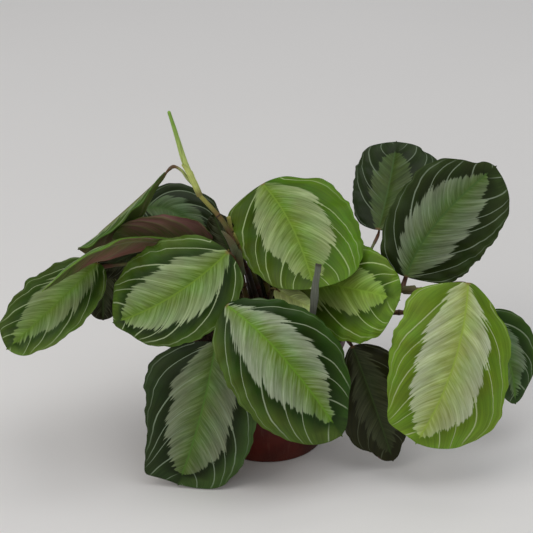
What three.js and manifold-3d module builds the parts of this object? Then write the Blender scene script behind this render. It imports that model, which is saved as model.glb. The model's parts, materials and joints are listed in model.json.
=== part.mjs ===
// A prayer plant (maranta) in a plastic nursery pot: sixteen leaf blades on their stalks,
// three jointed stems, a rolled new leaf in its sheath, a flat stake, the soil and the pot.
// Millimetres, +Z up. The origin is the centre of the pot's foot, and -Y is the plant's front.
import * as THREE from 'three'
import { mergeVertices } from 'three/addons/utils/BufferGeometryUtils.js'
import Module from 'manifold-3d'

const wasm = await Module()
wasm.setup()

// ---------- driving dimensions ----------

const potHeight = 96
const potTopRadius = 60
const potBaseRadius = 44
const potWall = 1.6
const potFloor = 2
const rimHeight = 10
const rimStep = 1.8
const rimRound = 0.8
const potSides = 48
const drainCount = 6
const drainRadius = 4.5
const drainCircle = 30

const soilTop = 84
const soilGap = 0.35
const soilSides = 32
const socketDepth = 10
const socketGap = 0.6
const socketSides = 16

const cutOverrun = 1
const weldDistance = 1e-4

const stakeWidth = 4.8
const stakeThickness = 1.2
const stakeFoot = [27, -39, 66]
const stakeHead = [38.5, -46, 176]

const bladeThickness = 0.8
const bladeStations = 12
const bladeAcross = 4
const bendSteps = 12
const bendEase = 0.7

const stalkSides = 8
const seatGap = 0.35
const stalkClearance = 0.5
const jointLength = 5
const stalkSteps = 14
const stemSteps = 22

const sheathFoot = [-50.6, -5.9, 210.8]
const sheathHead = [-59.5, -6, 234]
const sheathRadius = 3
const sheathMouth = 2.6
const sheathWaist = 0.6
const rolledLeafTip = [-71, -6, 276]
const rolledRadius = 2.2
const rolledWaist = 0.3
const rolledEnd = 0.8
const rolledGap = 0.8
const spindleSides = 12

// Each blade: its midrib from base over the middle to the tip, the way its upper side faces,
// the half widths at five stations from base to tip on the right and on the left of the
// midrib, and how far each half bends and folds away from flat, in degrees.
const blades = {
  front_right: {
    base: [146, -40, 155], mid: [135, -72, 104], tip: [110, -78, 41], faces: [0.05, -0.8, 0.6],
    right: [37, 45, 49, 41, 28], left: [14, 35, 43, 47, 26], bend: [-25, -25], fold: [0, 0],
  },
  front_left: {
    base: [-38, -58, 115], mid: [-50, -76, 61], tip: [-67, -78, 4], faces: [0, -0.95, 0.25],
    right: [30, 46, 42, 34, 27], left: [22, 36, 42, 40, 28], bend: [-12, -6], fold: [0, 0],
  },
  front_centre: {
    base: [-30, -56, 145], mid: [10, -80, 117], tip: [54, -80, 49], faces: [0.1, -0.75, 0.6],
    right: [24, 37, 45, 43, 26], left: [12, 28, 40, 37, 16], bend: [-20, -15], fold: [0, 0],
  },
  top_right: {
    base: [104, 0, 138], mid: [125, 4, 181], tip: [165, -6, 232], faces: [-0.1, -0.9, 0.3],
    right: [30, 39, 42, 39, 26], left: [20, 30, 36, 34, 14], bend: [-5, -10], fold: [0, 0],
  },
  top_centre: {
    base: [-4, 60, 187], mid: [18, 18, 172], tip: [34, -38, 149], faces: [0, -0.5, 0.85],
    right: [32, 42, 46, 43, 32], left: [24, 46, 50, 46, 32], bend: [-15, -15], fold: [0, 0],
  },
  centre_left: {
    base: [-29, -24, 172], mid: [-70, -44, 146], tip: [-113, -46, 125], faces: [-0.1, -0.75, 0.6],
    right: [24, 38, 42, 38, 24], left: [22, 36, 37, 28, 9], bend: [-12, -12], fold: [0, 0],
  },
  centre_right: {
    base: [9, 8, 133], mid: [58, -14, 137], tip: [97, -32, 136], faces: [0.1, -0.75, 0.55],
    right: [24, 31, 39, 38, 26], left: [14, 28, 36, 28, 15], bend: [-15, -15], fold: [0, 0],
  },
  far_left: {
    base: [-127, -5, 153], mid: [-156, -34, 135], tip: [-191, -55, 108], faces: [-0.2, -0.45, 0.85],
    right: [21, 29, 35, 31, 22], left: [14, 24, 28, 24, 15], bend: [-12, -12], fold: [0, 0],
  },
  back_right: {
    base: [84, 35, 160], mid: [94, 75, 178], tip: [102, 118, 196], faces: [-0.1, -0.3, 0.95],
    right: [22, 34, 37, 36, 24], left: [16, 24, 28, 28, 21], bend: [-5, -5], fold: [0, 0],
  },
  low_right: {
    base: [63, -34, 98], mid: [79, -48, 58], tip: [95, -52, 8], faces: [0.1, -0.9, 0.2],
    right: [8, 18, 27, 26, 15], left: [16, 28, 30, 26, 12], bend: [-15, -10], fold: [0, 0],
  },
  back_left: {
    base: [-97, 52, 170], mid: [-69, 46, 168], tip: [-48, 34, 144], faces: [0.2, -0.6, 0.7],
    right: [14, 22, 24, 22, 12], left: [10, 20, 24, 24, 14], bend: [0, 0], fold: [0, 0],
  },
  far_right: {
    base: [164, 0, 106], mid: [183, -12, 76], tip: [191, -14, 35], faces: [0.4, -0.8, 0.3],
    right: [10, 20, 24, 18, 8], left: [14, 24, 26, 20, 8], bend: [0, 0], fold: [0, 0],
  },
  arched: {
    base: [-75, 8, 221], mid: [-108, 0, 192], tip: [-140, -10, 167], faces: [-0.4, 0.8, 0.6],
    right: [6, 15, 24, 27, 18], left: [6, 13, 15, 14, 8], bend: [0, 0], fold: [-12, -50],
  },
  edge_upper: {
    base: [-42, 16, 161], mid: [-79, 8, 167], tip: [-116, 0, 169], faces: [0.05, 0.9, 0.4],
    right: [10, 17, 19, 17, 10], left: [10, 20, 23, 21, 13], bend: [10, 20], fold: [0, 0],
  },
  edge_lower: {
    base: [-48, 2, 157], mid: [-109, -16, 176], tip: [-161, -60, 160], faces: [0, 0.7, 0.7],
    right: [10, 18, 24, 20, 10], left: [6, 12, 20, 21, 14], bend: [0, -20], fold: [-25, 0],
  },
  small_left: {
    base: [-123, 30, 135], mid: [-126, 22, 115], tip: [-127, 16, 92], faces: [0.1, -0.9, 0.3],
    right: [8, 14, 16, 13, 8], left: [8, 14, 16, 13, 8], bend: [0, 0], fold: [0, 0],
  },
}

// The stems, from the soil up.
const stems = {
  left: {
    radius: 2.6,
    route: [[-10, 4, 84], [-10, 4, 94], [-16, -2, 120], [-23.5, -10, 164], [-32, -10, 188], [-50, -6, 209.4]],
  },
  right: {
    radius: 2.6,
    route: [[12, 2, 84], [12, 2, 92], [38, 8, 110], [70, 5, 123], [100, -2, 128], [118, -14, 134]],
  },
  low: {
    radius: 2.2,
    route: [[20, 14, 84], [20, 14, 90], [54, 13, 100], [97, 6, 104], [128, 3, 106]],
  },
}

// Each leaf's stalk: where it leaves a stem (stem and fraction of its length, or the soil),
// and the points that it passes on its way to the blade's base.
const stalks = {
  front_right: { stem: ['right', 1], radius: 1.5, via: [[134, -28, 147]] },
  top_right: { stem: ['right', 0.86], radius: 1.4, via: [] },
  back_right: { stem: ['right', 0.6], radius: 1.1, via: [[77, 19, 148]] },
  far_right: { stem: ['low', 1], radius: 1.3, via: [[146, 1.5, 108]] },
  low_right: { soil: [24, -12], radius: 1.2, via: [[24, -12, 92], [34, -19, 104], [50, -27, 108]] },
  centre_right: { soil: [2, -5], radius: 1.3, via: [[2, -5, 92], [2, 3, 118]] },
  top_centre: { soil: [2, 22], radius: 1.4, via: [[2, 22, 92], [0, 50, 150], [-3, 64, 180]] },
  front_centre: { soil: [-8, -14], radius: 1.4, via: [[-8, -14, 92], [-17, -38, 116], [-26, -58, 134]] },
  front_left: { soil: [-20, -16], radius: 1.4, via: [[-20, -16, 92], [-28, -38, 118]] },
  centre_left: { stem: ['left', 0.56], radius: 1.4, via: [] },
  far_left: { stem: ['left', 0.34], radius: 1.3, via: [[-58, 9, 146], [-100, 3, 148]] },
  small_left: { stem: ['left', 0.24], radius: 1.1, via: [[-56, 22, 128], [-106, 32, 140]] },
  back_left: { stem: ['left', 0.3], radius: 1.2, via: [[-46, 48, 142], [-84, 62, 150], [-100, 58, 162]] },
  edge_upper: { stem: ['left', 0.4], radius: 1.2, via: [[-30, 10, 152]] },
  edge_lower: { stem: ['left', 0.5], radius: 1.2, via: [] },
  arched: { sheath: 0.5, radius: 1.1, via: [[-63, 2, 228]] },
}

// ---------- materials ----------

const finish = (color, roughness) => new THREE.MeshStandardMaterial({ color, roughness, metalness: 0 })
const finishes = {
  leafBright: finish('#7a9c45', 0.5),
  leafDark: finish('#35522f', 0.45),
  leafUnder: finish('#6b4d47', 0.6),
  stalk: finish('#4a3528', 0.55),
  newLeaf: finish('#9dbb5a', 0.45),
  sheath: finish('#b7c07a', 0.55),
  pot: finish('#6b2f22', 0.5),
  soil: finish('#2c2019', 0.95),
  stake: finish('#5f6059', 0.7),
}
const brightBlades = ['front_right', 'top_centre', 'centre_left', 'centre_right', 'front_centre']
const purpleBlades = ['arched', 'edge_upper', 'edge_lower']

const plant = new THREE.Group()

function add(name, geometry, material) {
  const mesh = new THREE.Mesh(geometry, material)
  mesh.name = name
  plant.add(mesh)
  return mesh
}

// ---------- booleans ----------

function toSolid(geometry) {
  const bare = geometry.clone()
  bare.deleteAttribute('normal')
  bare.deleteAttribute('uv')
  const merged = mergeVertices(bare, weldDistance)
  return new wasm.Manifold(new wasm.Mesh({
    numProp: 3,
    vertProperties: new Float32Array(merged.attributes.position.array),
    triVerts: new Uint32Array(merged.index.array),
  }))
}

function fromSolid(solid) {
  const mesh = solid.getMesh()
  const geometry = new THREE.BufferGeometry()
  geometry.setAttribute('position', new THREE.BufferAttribute(mesh.vertProperties, 3))
  geometry.setIndex(new THREE.BufferAttribute(mesh.triVerts, 1))
  geometry.computeVertexNormals()
  return geometry
}

function cutFrom(body, tools) {
  return fromSolid(tools.reduce((solid, tool) => solid.subtract(toSolid(tool)), toSolid(body)))
}

const arrow = ([x, y, z]) => new THREE.Vector3(x, y, z)
const upwards = arrow([0, 0, 1])

function upright(geometry) {
  return geometry.rotateX(Math.PI / 2)
}

function post(radius, low, high, x, y, sides) {
  const geometry = upright(new THREE.CylinderGeometry(radius, radius, high - low, sides))
  return geometry.translate(x, y, (low + high) / 2)
}

// ---------- pot and soil ----------

const wallFoot = potBaseRadius - potWall
const underRim = potHeight - rimHeight
const bodyTopRadius = potTopRadius - rimStep
const wallTop = bodyTopRadius - potWall

function innerRadius(z) {
  return wallFoot + (wallTop - wallFoot) * (z - potFloor) / (underRim - potFloor)
}

function lathe(profile, sides) {
  return upright(new THREE.LatheGeometry(profile.map(([r, z]) => new THREE.Vector2(r, z)), sides))
}

function potGeometry() {
  const body = lathe([
    [0, 0],
    [potBaseRadius - rimRound, 0],
    [potBaseRadius, rimRound],
    [bodyTopRadius, underRim],
    [potTopRadius, underRim + rimRound],
    [potTopRadius, potHeight - rimRound],
    [potTopRadius - rimRound, potHeight],
    [wallTop + rimRound, potHeight],
    [wallTop, potHeight - rimRound],
    [wallTop, underRim],
    [wallFoot, potFloor],
    [0, potFloor],
  ], potSides)
  const holes = []
  for (let i = 0; i < drainCount; i++) {
    const turn = (i / drainCount) * 2 * Math.PI
    const x = drainCircle * Math.cos(turn)
    const y = drainCircle * Math.sin(turn)
    holes.push(post(drainRadius, -cutOverrun, potFloor + cutOverrun, x, y, socketSides))
  }
  return cutFrom(body, holes)
}

function stakeGeometry(grow) {
  const foot = arrow(stakeFoot)
  const head = arrow(stakeHead)
  const rise = head.clone().sub(foot)
  const size = [stakeWidth, stakeThickness, rise.length()].map((side) => side + 2 * grow)
  const box = new THREE.BoxGeometry(...size)
  const turn = new THREE.Quaternion().setFromUnitVectors(upwards, rise.normalize())
  return box.applyQuaternion(turn).translate(...foot.add(head).divideScalar(2).toArray())
}

function soilGeometry() {
  const bottom = potFloor + soilGap
  const body = lathe([
    [0, bottom],
    [innerRadius(bottom) - soilGap * 2, bottom],
    [innerRadius(soilTop) - soilGap * 2, soilTop],
    [0, soilTop],
  ], soilSides)
  const sockets = []
  const rooted = Object.values(stems).map(({ route, radius }) => [route[0][0], route[0][1], radius])
  for (const { soil, radius } of Object.values(stalks)) {
    if (soil) rooted.push([soil[0], soil[1], radius])
  }
  const socketFoot = soilTop - socketDepth - socketGap
  for (const [x, y, radius] of rooted) {
    sockets.push(post(radius + socketGap, socketFoot, soilTop + cutOverrun, x, y, socketSides))
  }
  sockets.push(stakeGeometry(socketGap))
  return cutFrom(body, sockets)
}

// ---------- blades ----------

// A half width at any station: a smooth curve through the given ones, round at both ends.
function halfWidth(widths, angle) {
  const points = [-widths[0], 0, ...widths, 0, -widths.at(-1)]
  const place = (angle / Math.PI) * (widths.length + 1)
  const k = Math.min(Math.floor(place), widths.length)
  const f = place - k
  const [a, b, c, d] = points.slice(k, k + 4)
  const square = 2 * a - 5 * b + 4 * c - d
  const cube = 3 * b - a - 3 * c + d
  return Math.max((2 * b + (c - a) * f + square * f ** 2 + cube * f ** 3) / 2, 0)
}

function midrib({ base, mid, tip }, s) {
  const start = arrow(base)
  const end = arrow(tip)
  const pull = arrow(mid).multiplyScalar(2).sub(start.clone().add(end).divideScalar(2))
  const point = start.clone().multiplyScalar((1 - s) ** 2)
    .addScaledVector(pull, 2 * s * (1 - s)).addScaledVector(end, s * s)
  const along = pull.clone().sub(start).multiplyScalar(1 - s)
    .addScaledVector(end.clone().sub(pull), s).normalize()
  return { point, along }
}

// A point of the blade: angle runs from 0 at the base to pi at the tip, t from -1 to 1 across.
function bladePoint(blade, angle, t) {
  const { point, along } = midrib(blade, (1 - Math.cos(angle)) / 2)
  const face = arrow(blade.faces)
  const up = face.addScaledVector(along, -face.dot(along)).normalize()
  const side = along.clone().cross(up)
  const half = t > 0 ? 0 : 1
  const width = halfWidth(t > 0 ? blade.right : blade.left, angle)
  const reach = Math.abs(t)
  let out = 0
  let lift = 0
  for (let i = 0; i < bendSteps; i++) {
    const u = ((i + 0.5) / bendSteps) * reach
    const turned = THREE.MathUtils.degToRad(blade.fold[half] + blade.bend[half] * u)
    const tilt = turned * Math.sin(angle) ** bendEase
    out += (Math.cos(tilt) * width * reach) / bendSteps
    lift += (Math.sin(tilt) * width * reach) / bendSteps
  }
  return point.addScaledVector(side, Math.sign(t) * out).addScaledVector(up, lift)
}

function bladeGeometry(blade) {
  const rows = []
  for (let i = 0; i <= bladeStations; i++) {
    const angle = (i / bladeStations) * Math.PI
    const row = []
    for (let j = -bladeAcross; j <= bladeAcross; j++) row.push(bladePoint(blade, angle, j / bladeAcross))
    rows.push(row)
  }
  const across = 2 * bladeAcross + 1
  const inner = bladeStations - 1
  const upper = []
  const lower = []
  for (let i = 1; i <= inner; i++) {
    for (let j = 0; j < across; j++) {
      const along = rows[i + 1][j].clone().sub(rows[i - 1][j])
      const side = rows[i][Math.min(j + 1, across - 1)].clone().sub(rows[i][Math.max(j - 1, 0)])
      const normal = side.cross(along).normalize()
      upper.push(rows[i][j].clone().addScaledVector(normal, bladeThickness / 2))
      lower.push(rows[i][j].clone().addScaledVector(normal, -bladeThickness / 2))
    }
  }
  const count = upper.length
  const basePole = 2 * count
  const tipPole = basePole + 1
  const points = [...upper, ...lower, rows[0][bladeAcross], rows[bladeStations][bladeAcross]]
  const faces = []
  const quad = (a, b, c, d) => faces.push(a, b, c, a, c, d)
  for (let i = 0; i < inner - 1; i++) {
    const here = i * across
    const next = here + across
    for (let j = 0; j < across - 1; j++) {
      quad(here + j, here + j + 1, next + j + 1, next + j)
      quad(count + here + j, count + next + j, count + next + j + 1, count + here + j + 1)
    }
    quad(here, next, count + next, count + here)
    const edge = across - 1
    quad(here + edge, count + here + edge, count + next + edge, next + edge)
  }
  const last = (inner - 1) * across
  for (let j = 0; j < across - 1; j++) {
    faces.push(basePole, j + 1, j, basePole, count + j, count + j + 1)
    faces.push(tipPole, last + j, last + j + 1, tipPole, count + last + j + 1, count + last + j)
  }
  faces.push(basePole, 0, count, basePole, count + across - 1, across - 1)
  faces.push(tipPole, count + last, last, tipPole, last + across - 1, count + last + across - 1)
  const geometry = new THREE.BufferGeometry().setFromPoints(points)
  geometry.setIndex(faces)
  geometry.computeVertexNormals()
  return geometry
}

// ---------- stems and stalks ----------

function roundSection(radius, sides) {
  const shape = new THREE.Shape()
  for (let i = 0; i < sides; i++) {
    const turn = (i / sides) * 2 * Math.PI
    const x = radius * Math.cos(turn)
    const y = radius * Math.sin(turn)
    if (i === 0) shape.moveTo(x, y)
    else shape.lineTo(x, y)
  }
  shape.closePath()
  return shape
}

function tube(points, radius, steps) {
  const path = new THREE.CatmullRomCurve3(points, false, 'centripetal')
  const section = roundSection(radius, stalkSides)
  return new THREE.ExtrudeGeometry(section, { steps, extrudePath: path, bevelEnabled: false })
}

// A stem's route, with its rooted end straight down in its socket.
function stemPoints({ route }) {
  const foot = arrow(route[0])
  const buried = foot.clone().setZ(soilTop - socketDepth)
  return [buried, ...route.map(arrow)]
}

function stemPath(name) {
  return new THREE.CatmullRomCurve3(stemPoints(stems[name]), false, 'centripetal')
}

// The first point of a stalk that leaves a round carrier of the given radius.
function seatOn(centre, axis, carrierRadius, radius, towards) {
  const out = towards.clone().sub(centre).normalize()
  const cosine = Math.abs(out.dot(axis))
  const sine = Math.sqrt(1 - cosine * cosine)
  return centre.clone().addScaledVector(out, (carrierRadius + seatGap + radius * cosine) / sine)
}

function stalkStart(stalk, first) {
  if (stalk.soil) return [arrow([...stalk.soil, soilTop - socketDepth]), arrow([...stalk.soil, soilTop])]
  if (stalk.sheath) {
    const foot = arrow(sheathFoot)
    const head = arrow(sheathHead)
    const axis = head.clone().sub(foot).normalize()
    return [seatOn(foot.lerp(head, stalk.sheath), axis, sheathRadius, stalk.radius, first)]
  }
  const [name, share] = stalk.stem
  const path = stemPath(name)
  const axis = path.getTangentAt(share)
  const centre = path.getPointAt(share)
  if (share === 1) {
    const start = centre.clone().addScaledVector(axis, seatGap)
    return [start, centre.addScaledVector(axis, seatGap + stalk.radius * 2)]
  }
  return [seatOn(centre, axis, stems[name].radius, stalk.radius, first)]
}

// A stalk meets its blade in line with the midrib, after the bend of its last, short joint.
function stalkGeometry(name) {
  const stalk = stalks[name]
  const { point, along } = midrib(blades[name], 0)
  const joint = point.clone().addScaledVector(along, -jointLength)
  const end = point.addScaledVector(along, -stalkClearance)
  const way = [...stalk.via.map(arrow), joint, end]
  return tube([...stalkStart(stalk, way[0]), ...way], stalk.radius, stalkSteps)
}

// ---------- the rolled new leaf and its sheath ----------

function spindle(from, to, profile) {
  const rise = to.clone().sub(from)
  const long = rise.length()
  const shape = lathe([[0, 0], ...profile.map(([r, share]) => [r, share * long]), [0, long]], spindleSides)
  const turn = new THREE.Quaternion().setFromUnitVectors(upwards, rise.normalize())
  return shape.applyQuaternion(turn).translate(from.x, from.y, from.z)
}

// ---------- the plant ----------

add('pot', potGeometry(), finishes.pot)
add('soil', soilGeometry(), finishes.soil)
add('stake', stakeGeometry(0), finishes.stake)

for (const [name, stem] of Object.entries(stems)) {
  add(`stem_${name}`, tube(stemPoints(stem), stem.radius, stemSteps), finishes.stalk)
}

const sheathProfile = [[sheathRadius, 0], [sheathRadius, sheathWaist], [sheathMouth, 1]]
add('sheath', spindle(arrow(sheathFoot), arrow(sheathHead), sheathProfile), finishes.sheath)

const rolledTip = arrow(rolledLeafTip)
const rolledRise = rolledTip.clone().sub(arrow(sheathHead)).normalize()
const rolledBase = arrow(sheathHead).addScaledVector(rolledRise, rolledGap)
const rolledProfile = [[rolledRadius, 0], [rolledRadius, rolledWaist], [rolledEnd, 1]]
add('rolled_leaf', spindle(rolledBase, rolledTip, rolledProfile), finishes.newLeaf)

for (const [name, blade] of Object.entries(blades)) {
  let material = finishes.leafDark
  if (brightBlades.includes(name)) material = finishes.leafBright
  if (purpleBlades.includes(name)) material = finishes.leafUnder
  add(`leaf_${name}`, bladeGeometry(blade), material)
  add(`stalk_${name}`, stalkGeometry(name), finishes.stalk)
}

export default plant
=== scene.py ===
import json
import math
import random
from functools import partial

import bpy
import numpy as np
from mathutils import Matrix, Vector, noise


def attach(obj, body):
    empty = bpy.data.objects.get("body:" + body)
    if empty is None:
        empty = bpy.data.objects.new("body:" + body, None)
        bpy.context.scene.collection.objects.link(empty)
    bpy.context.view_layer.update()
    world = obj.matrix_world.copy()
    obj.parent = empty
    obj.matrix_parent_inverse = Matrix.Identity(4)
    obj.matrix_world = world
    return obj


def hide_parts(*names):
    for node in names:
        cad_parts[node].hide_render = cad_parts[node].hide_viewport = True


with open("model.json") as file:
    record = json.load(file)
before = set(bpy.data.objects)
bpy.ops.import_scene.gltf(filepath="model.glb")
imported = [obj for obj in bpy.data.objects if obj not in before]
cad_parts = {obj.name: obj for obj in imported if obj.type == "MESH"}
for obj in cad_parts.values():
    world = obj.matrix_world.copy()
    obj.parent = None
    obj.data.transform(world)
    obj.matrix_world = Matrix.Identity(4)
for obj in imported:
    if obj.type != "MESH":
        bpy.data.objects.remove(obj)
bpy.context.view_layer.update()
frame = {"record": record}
mm = 0.001
fullTurn = 2 * math.pi
print("frame loaded")


# helpers

def tone(hexCode):
    # an sRGB hex value as linear colour
    parts = [int(hexCode[i:i + 2], 16) / 255 for i in (1, 3, 5)]
    return [p / 12.92 if p <= 0.04045 else ((p + 0.055) / 1.055) ** 2.4 for p in parts] + [1.0]


def addNode(tree, kind, inputs=(), **settings):
    # Adds a node, sets its options, and links or fills its inputs, given by name or number, or as a
    # list in their order. A node stands for its first output and a hex value for its colour.
    node = tree.nodes.new("ShaderNode" + kind)
    if kind == "Mix":
        node.data_type = "RGBA"
    for option, value in settings.items():
        setattr(node, option, value)
    for socket, value in inputs.items() if isinstance(inputs, dict) else enumerate(inputs):
        if isinstance(value, bpy.types.Node):
            value = next(out for out in value.outputs if out.enabled)
        if isinstance(value, bpy.types.NodeSocket):
            tree.links.new(value, node.inputs[socket])
        else:
            node.inputs[socket].default_value = tone(value) if isinstance(value, str) else value
    return node


def newMaterial(name):
    # an empty material and the function that adds nodes to it
    material = bpy.data.materials.new(name)
    material.use_nodes = True
    material.node_tree.nodes.clear()
    return material, partial(addNode, material.node_tree)


def splitMap(add, name):
    # the two values that a UV map carries, as X and Y
    return add("SeparateXYZ", [add("UVMap", uv_map=name)])


def addFibres(add, run, width, pace, scale, detail):
    # noise closed round a tube and drawn out along it: its radius in the noise, and noise per mm
    around = splitMap(add, "roundMap")
    x, y = (add("Math", [around.outputs[k], width], operation="MULTIPLY") for k in "XY")
    slow = add("Math", [run, pace], operation="MULTIPLY")
    return add("TexNoise", {"Vector": add("CombineXYZ", [x, y, slow]), "Scale": scale, "Detail": detail})


def lay(add, base, colour, by, *ramp):
    # lays a colour over another by a ramped value: the value's two ends, then the amounts there
    return add("Mix", {0: add("MapRange", [by, *ramp]), 6: base, 7: colour})


def vary(add, colour, by, *ramp):
    # darkens and lightens a colour by a ramped value
    return add("HueSaturation", {"Color": colour, "Value": add("MapRange", [by, *ramp])})


def addSurface(add, colour, roughness, relief=None, ior=1.45, specular=0.5):
    # the shader that ends a material; relief is a height, its strength and its depth in mm
    inputs = {"Base Color": colour, "Roughness": roughness, "IOR": ior, "Specular IOR Level": specular}
    if relief:
        height, strength, depth = relief
        inputs["Normal"] = add("Bump", {"Height": height, "Strength": strength, "Distance": depth * mm})
    add("OutputMaterial", {"Surface": add("BsdfPrincipled", inputs)})


def unit(v):
    return v / np.linalg.norm(v, axis=-1, keepdims=True)


def smooth(x, low, high):
    f = np.clip((x - low) / (high - low), 0, 1)
    return f * f * (3 - 2 * f)


def makePiece(name, points, faces, materials, slots=(), maps={}, sharp=()):
    # points in mm; maps holds one (u, v) list per corner for each UV map; sharp holds loops of points
    mesh = bpy.data.meshes.new(name)
    mesh.from_pydata((np.asarray(points) * mm).tolist(), [], faces)
    for material in materials:
        mesh.materials.append(material)
    if slots:
        mesh.polygons.foreach_set("material_index", slots)
    for mapName, corners in maps.items():
        layer = mesh.uv_layers.new(name=mapName)
        layer.uv.foreach_set("vector", np.asarray(corners, dtype=np.float32).ravel())
    mesh.polygons.foreach_set("use_smooth", [True] * len(mesh.polygons))
    if sharp:
        loop = np.zeros(len(mesh.vertices), dtype=int)
        for number, group in enumerate(sharp, 1):
            loop[group] = number
        ends = np.empty(len(mesh.edges) * 2, dtype=np.int32)
        mesh.edges.foreach_get("vertices", ends)
        a, b = loop[ends.reshape(-1, 2)].T
        mesh.edges.foreach_set("use_edge_sharp", (a == b) & (a > 0))
    mesh.update()
    piece = bpy.data.objects.new(name, mesh)
    bpy.context.scene.collection.objects.link(piece)
    return piece


def sheetFaces(rows, columns, order=(0, 1, 2, 3)):
    # Quads of a thin sheet: one skin, the other skin, and the rim that joins them; and the rim's
    # points. The second skin's points follow the first's.
    total = rows * columns
    i, j = np.meshgrid(np.arange(rows - 1), np.arange(columns - 1), indexing="ij")
    a = (i * columns + j).ravel()
    first = np.stack([a, a + 1, a + columns + 1, a + columns], 1)[:, order]
    rim = list(range(columns)) + [r * columns + columns - 1 for r in range(1, rows)]
    rim += [(rows - 1) * columns + c for c in range(columns - 2, -1, -1)]
    rim = np.array(rim + [r * columns for r in range(rows - 2, 0, -1)])
    after = np.roll(rim, -1)
    edge = np.stack([rim, rim + total, after + total, after], 1)[:, order]
    return np.concatenate([first, first[:, ::-1] + total, edge]), rim


def stand(piece, slot, *nodes):
    # the plant has no moving body, so every piece rides on the root
    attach(piece, "root")
    if nodes:
        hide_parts(*nodes)


# camera, light and floor

shot = {"elevation": 28, "distance": 1.4, "target": (-0.001, 0, 0.147), "lens": 126.08}

camera = bpy.data.objects.new("camera", bpy.data.cameras.new("camera"))
tilt = math.radians(shot["elevation"])
back = Vector((0, -math.cos(tilt), math.sin(tilt))) * shot["distance"]
camera.location = Vector(shot["target"]) + back
camera.rotation_euler = (math.pi / 2 - tilt, 0, 0)
camera.data.lens = shot["lens"]
camera.data.sensor_width = 36
camera.data.clip_end = 20
bpy.context.scene.collection.objects.link(camera)
bpy.context.scene.camera = camera
bpy.context.scene.view_settings.view_transform = "Standard"

lampAim = Vector((0, 0, 0.1))
lamps = {
    "windowLeft": {"at": (-1.6, -0.9, 2.1), "size": (1.6, 1.2), "watts": 15, "colour": "#fffaf4"},
    "softTop": {"at": (0.4, 0.1, 2.7), "size": (2.6, 2.4), "watts": 34, "colour": "#ffffff"},
    "frontFill": {"at": (-0.7, -2.2, 1.1), "size": (1.6, 1.2), "watts": 9, "colour": "#fdfcf8"},
}
for name, lamp in lamps.items():
    light = bpy.data.lights.new(name, "AREA")
    light.shape = "RECTANGLE"
    light.size, light.size_y = lamp["size"]
    light.energy = lamp["watts"]
    light.color = tone(lamp["colour"])[:3]
    holder = bpy.data.objects.new(name, light)
    holder.location = lamp["at"]
    holder.rotation_euler = (lampAim - holder.location).to_track_quat("-Z", "Y").to_euler()
    bpy.context.scene.collection.objects.link(holder)

sky = {"colour": "#f2f3f6", "strength": 0.22}
air = bpy.data.worlds.new("air")
air.use_nodes = True
background = air.node_tree.nodes["Background"]
background.inputs["Color"].default_value = tone(sky["colour"])
background.inputs["Strength"].default_value = sky["strength"]
bpy.context.scene.world = air

floor = {"half": 3200, "colour": "#f0efee"}


def paperMaterial():
    # matt background paper: pale and even, with the faintest cloudiness
    material, add = newMaterial("mattStudioPaper")
    cloud = add("TexNoise", {"Vector": add("TexCoord").outputs["Object"], "Scale": 1.6, "Detail": 3.0})
    shade = add("MapRange", [cloud, 0.3, 0.7, 0.97, 1.0])
    colour = add("HueSaturation", {"Color": floor["colour"], "Value": shade})
    addSurface(add, colour, 0.95, ior=1.5, specular=0.1)
    return material


h = floor["half"]
paper = makePiece("studioFloor", [(-h, -h, 0), (h, -h, 0), (h, h, 0), (-h, h, 0)], [(0, 1, 2, 3)],
                  [paperMaterial()])
print("studio ready")


# leaf blades

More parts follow.
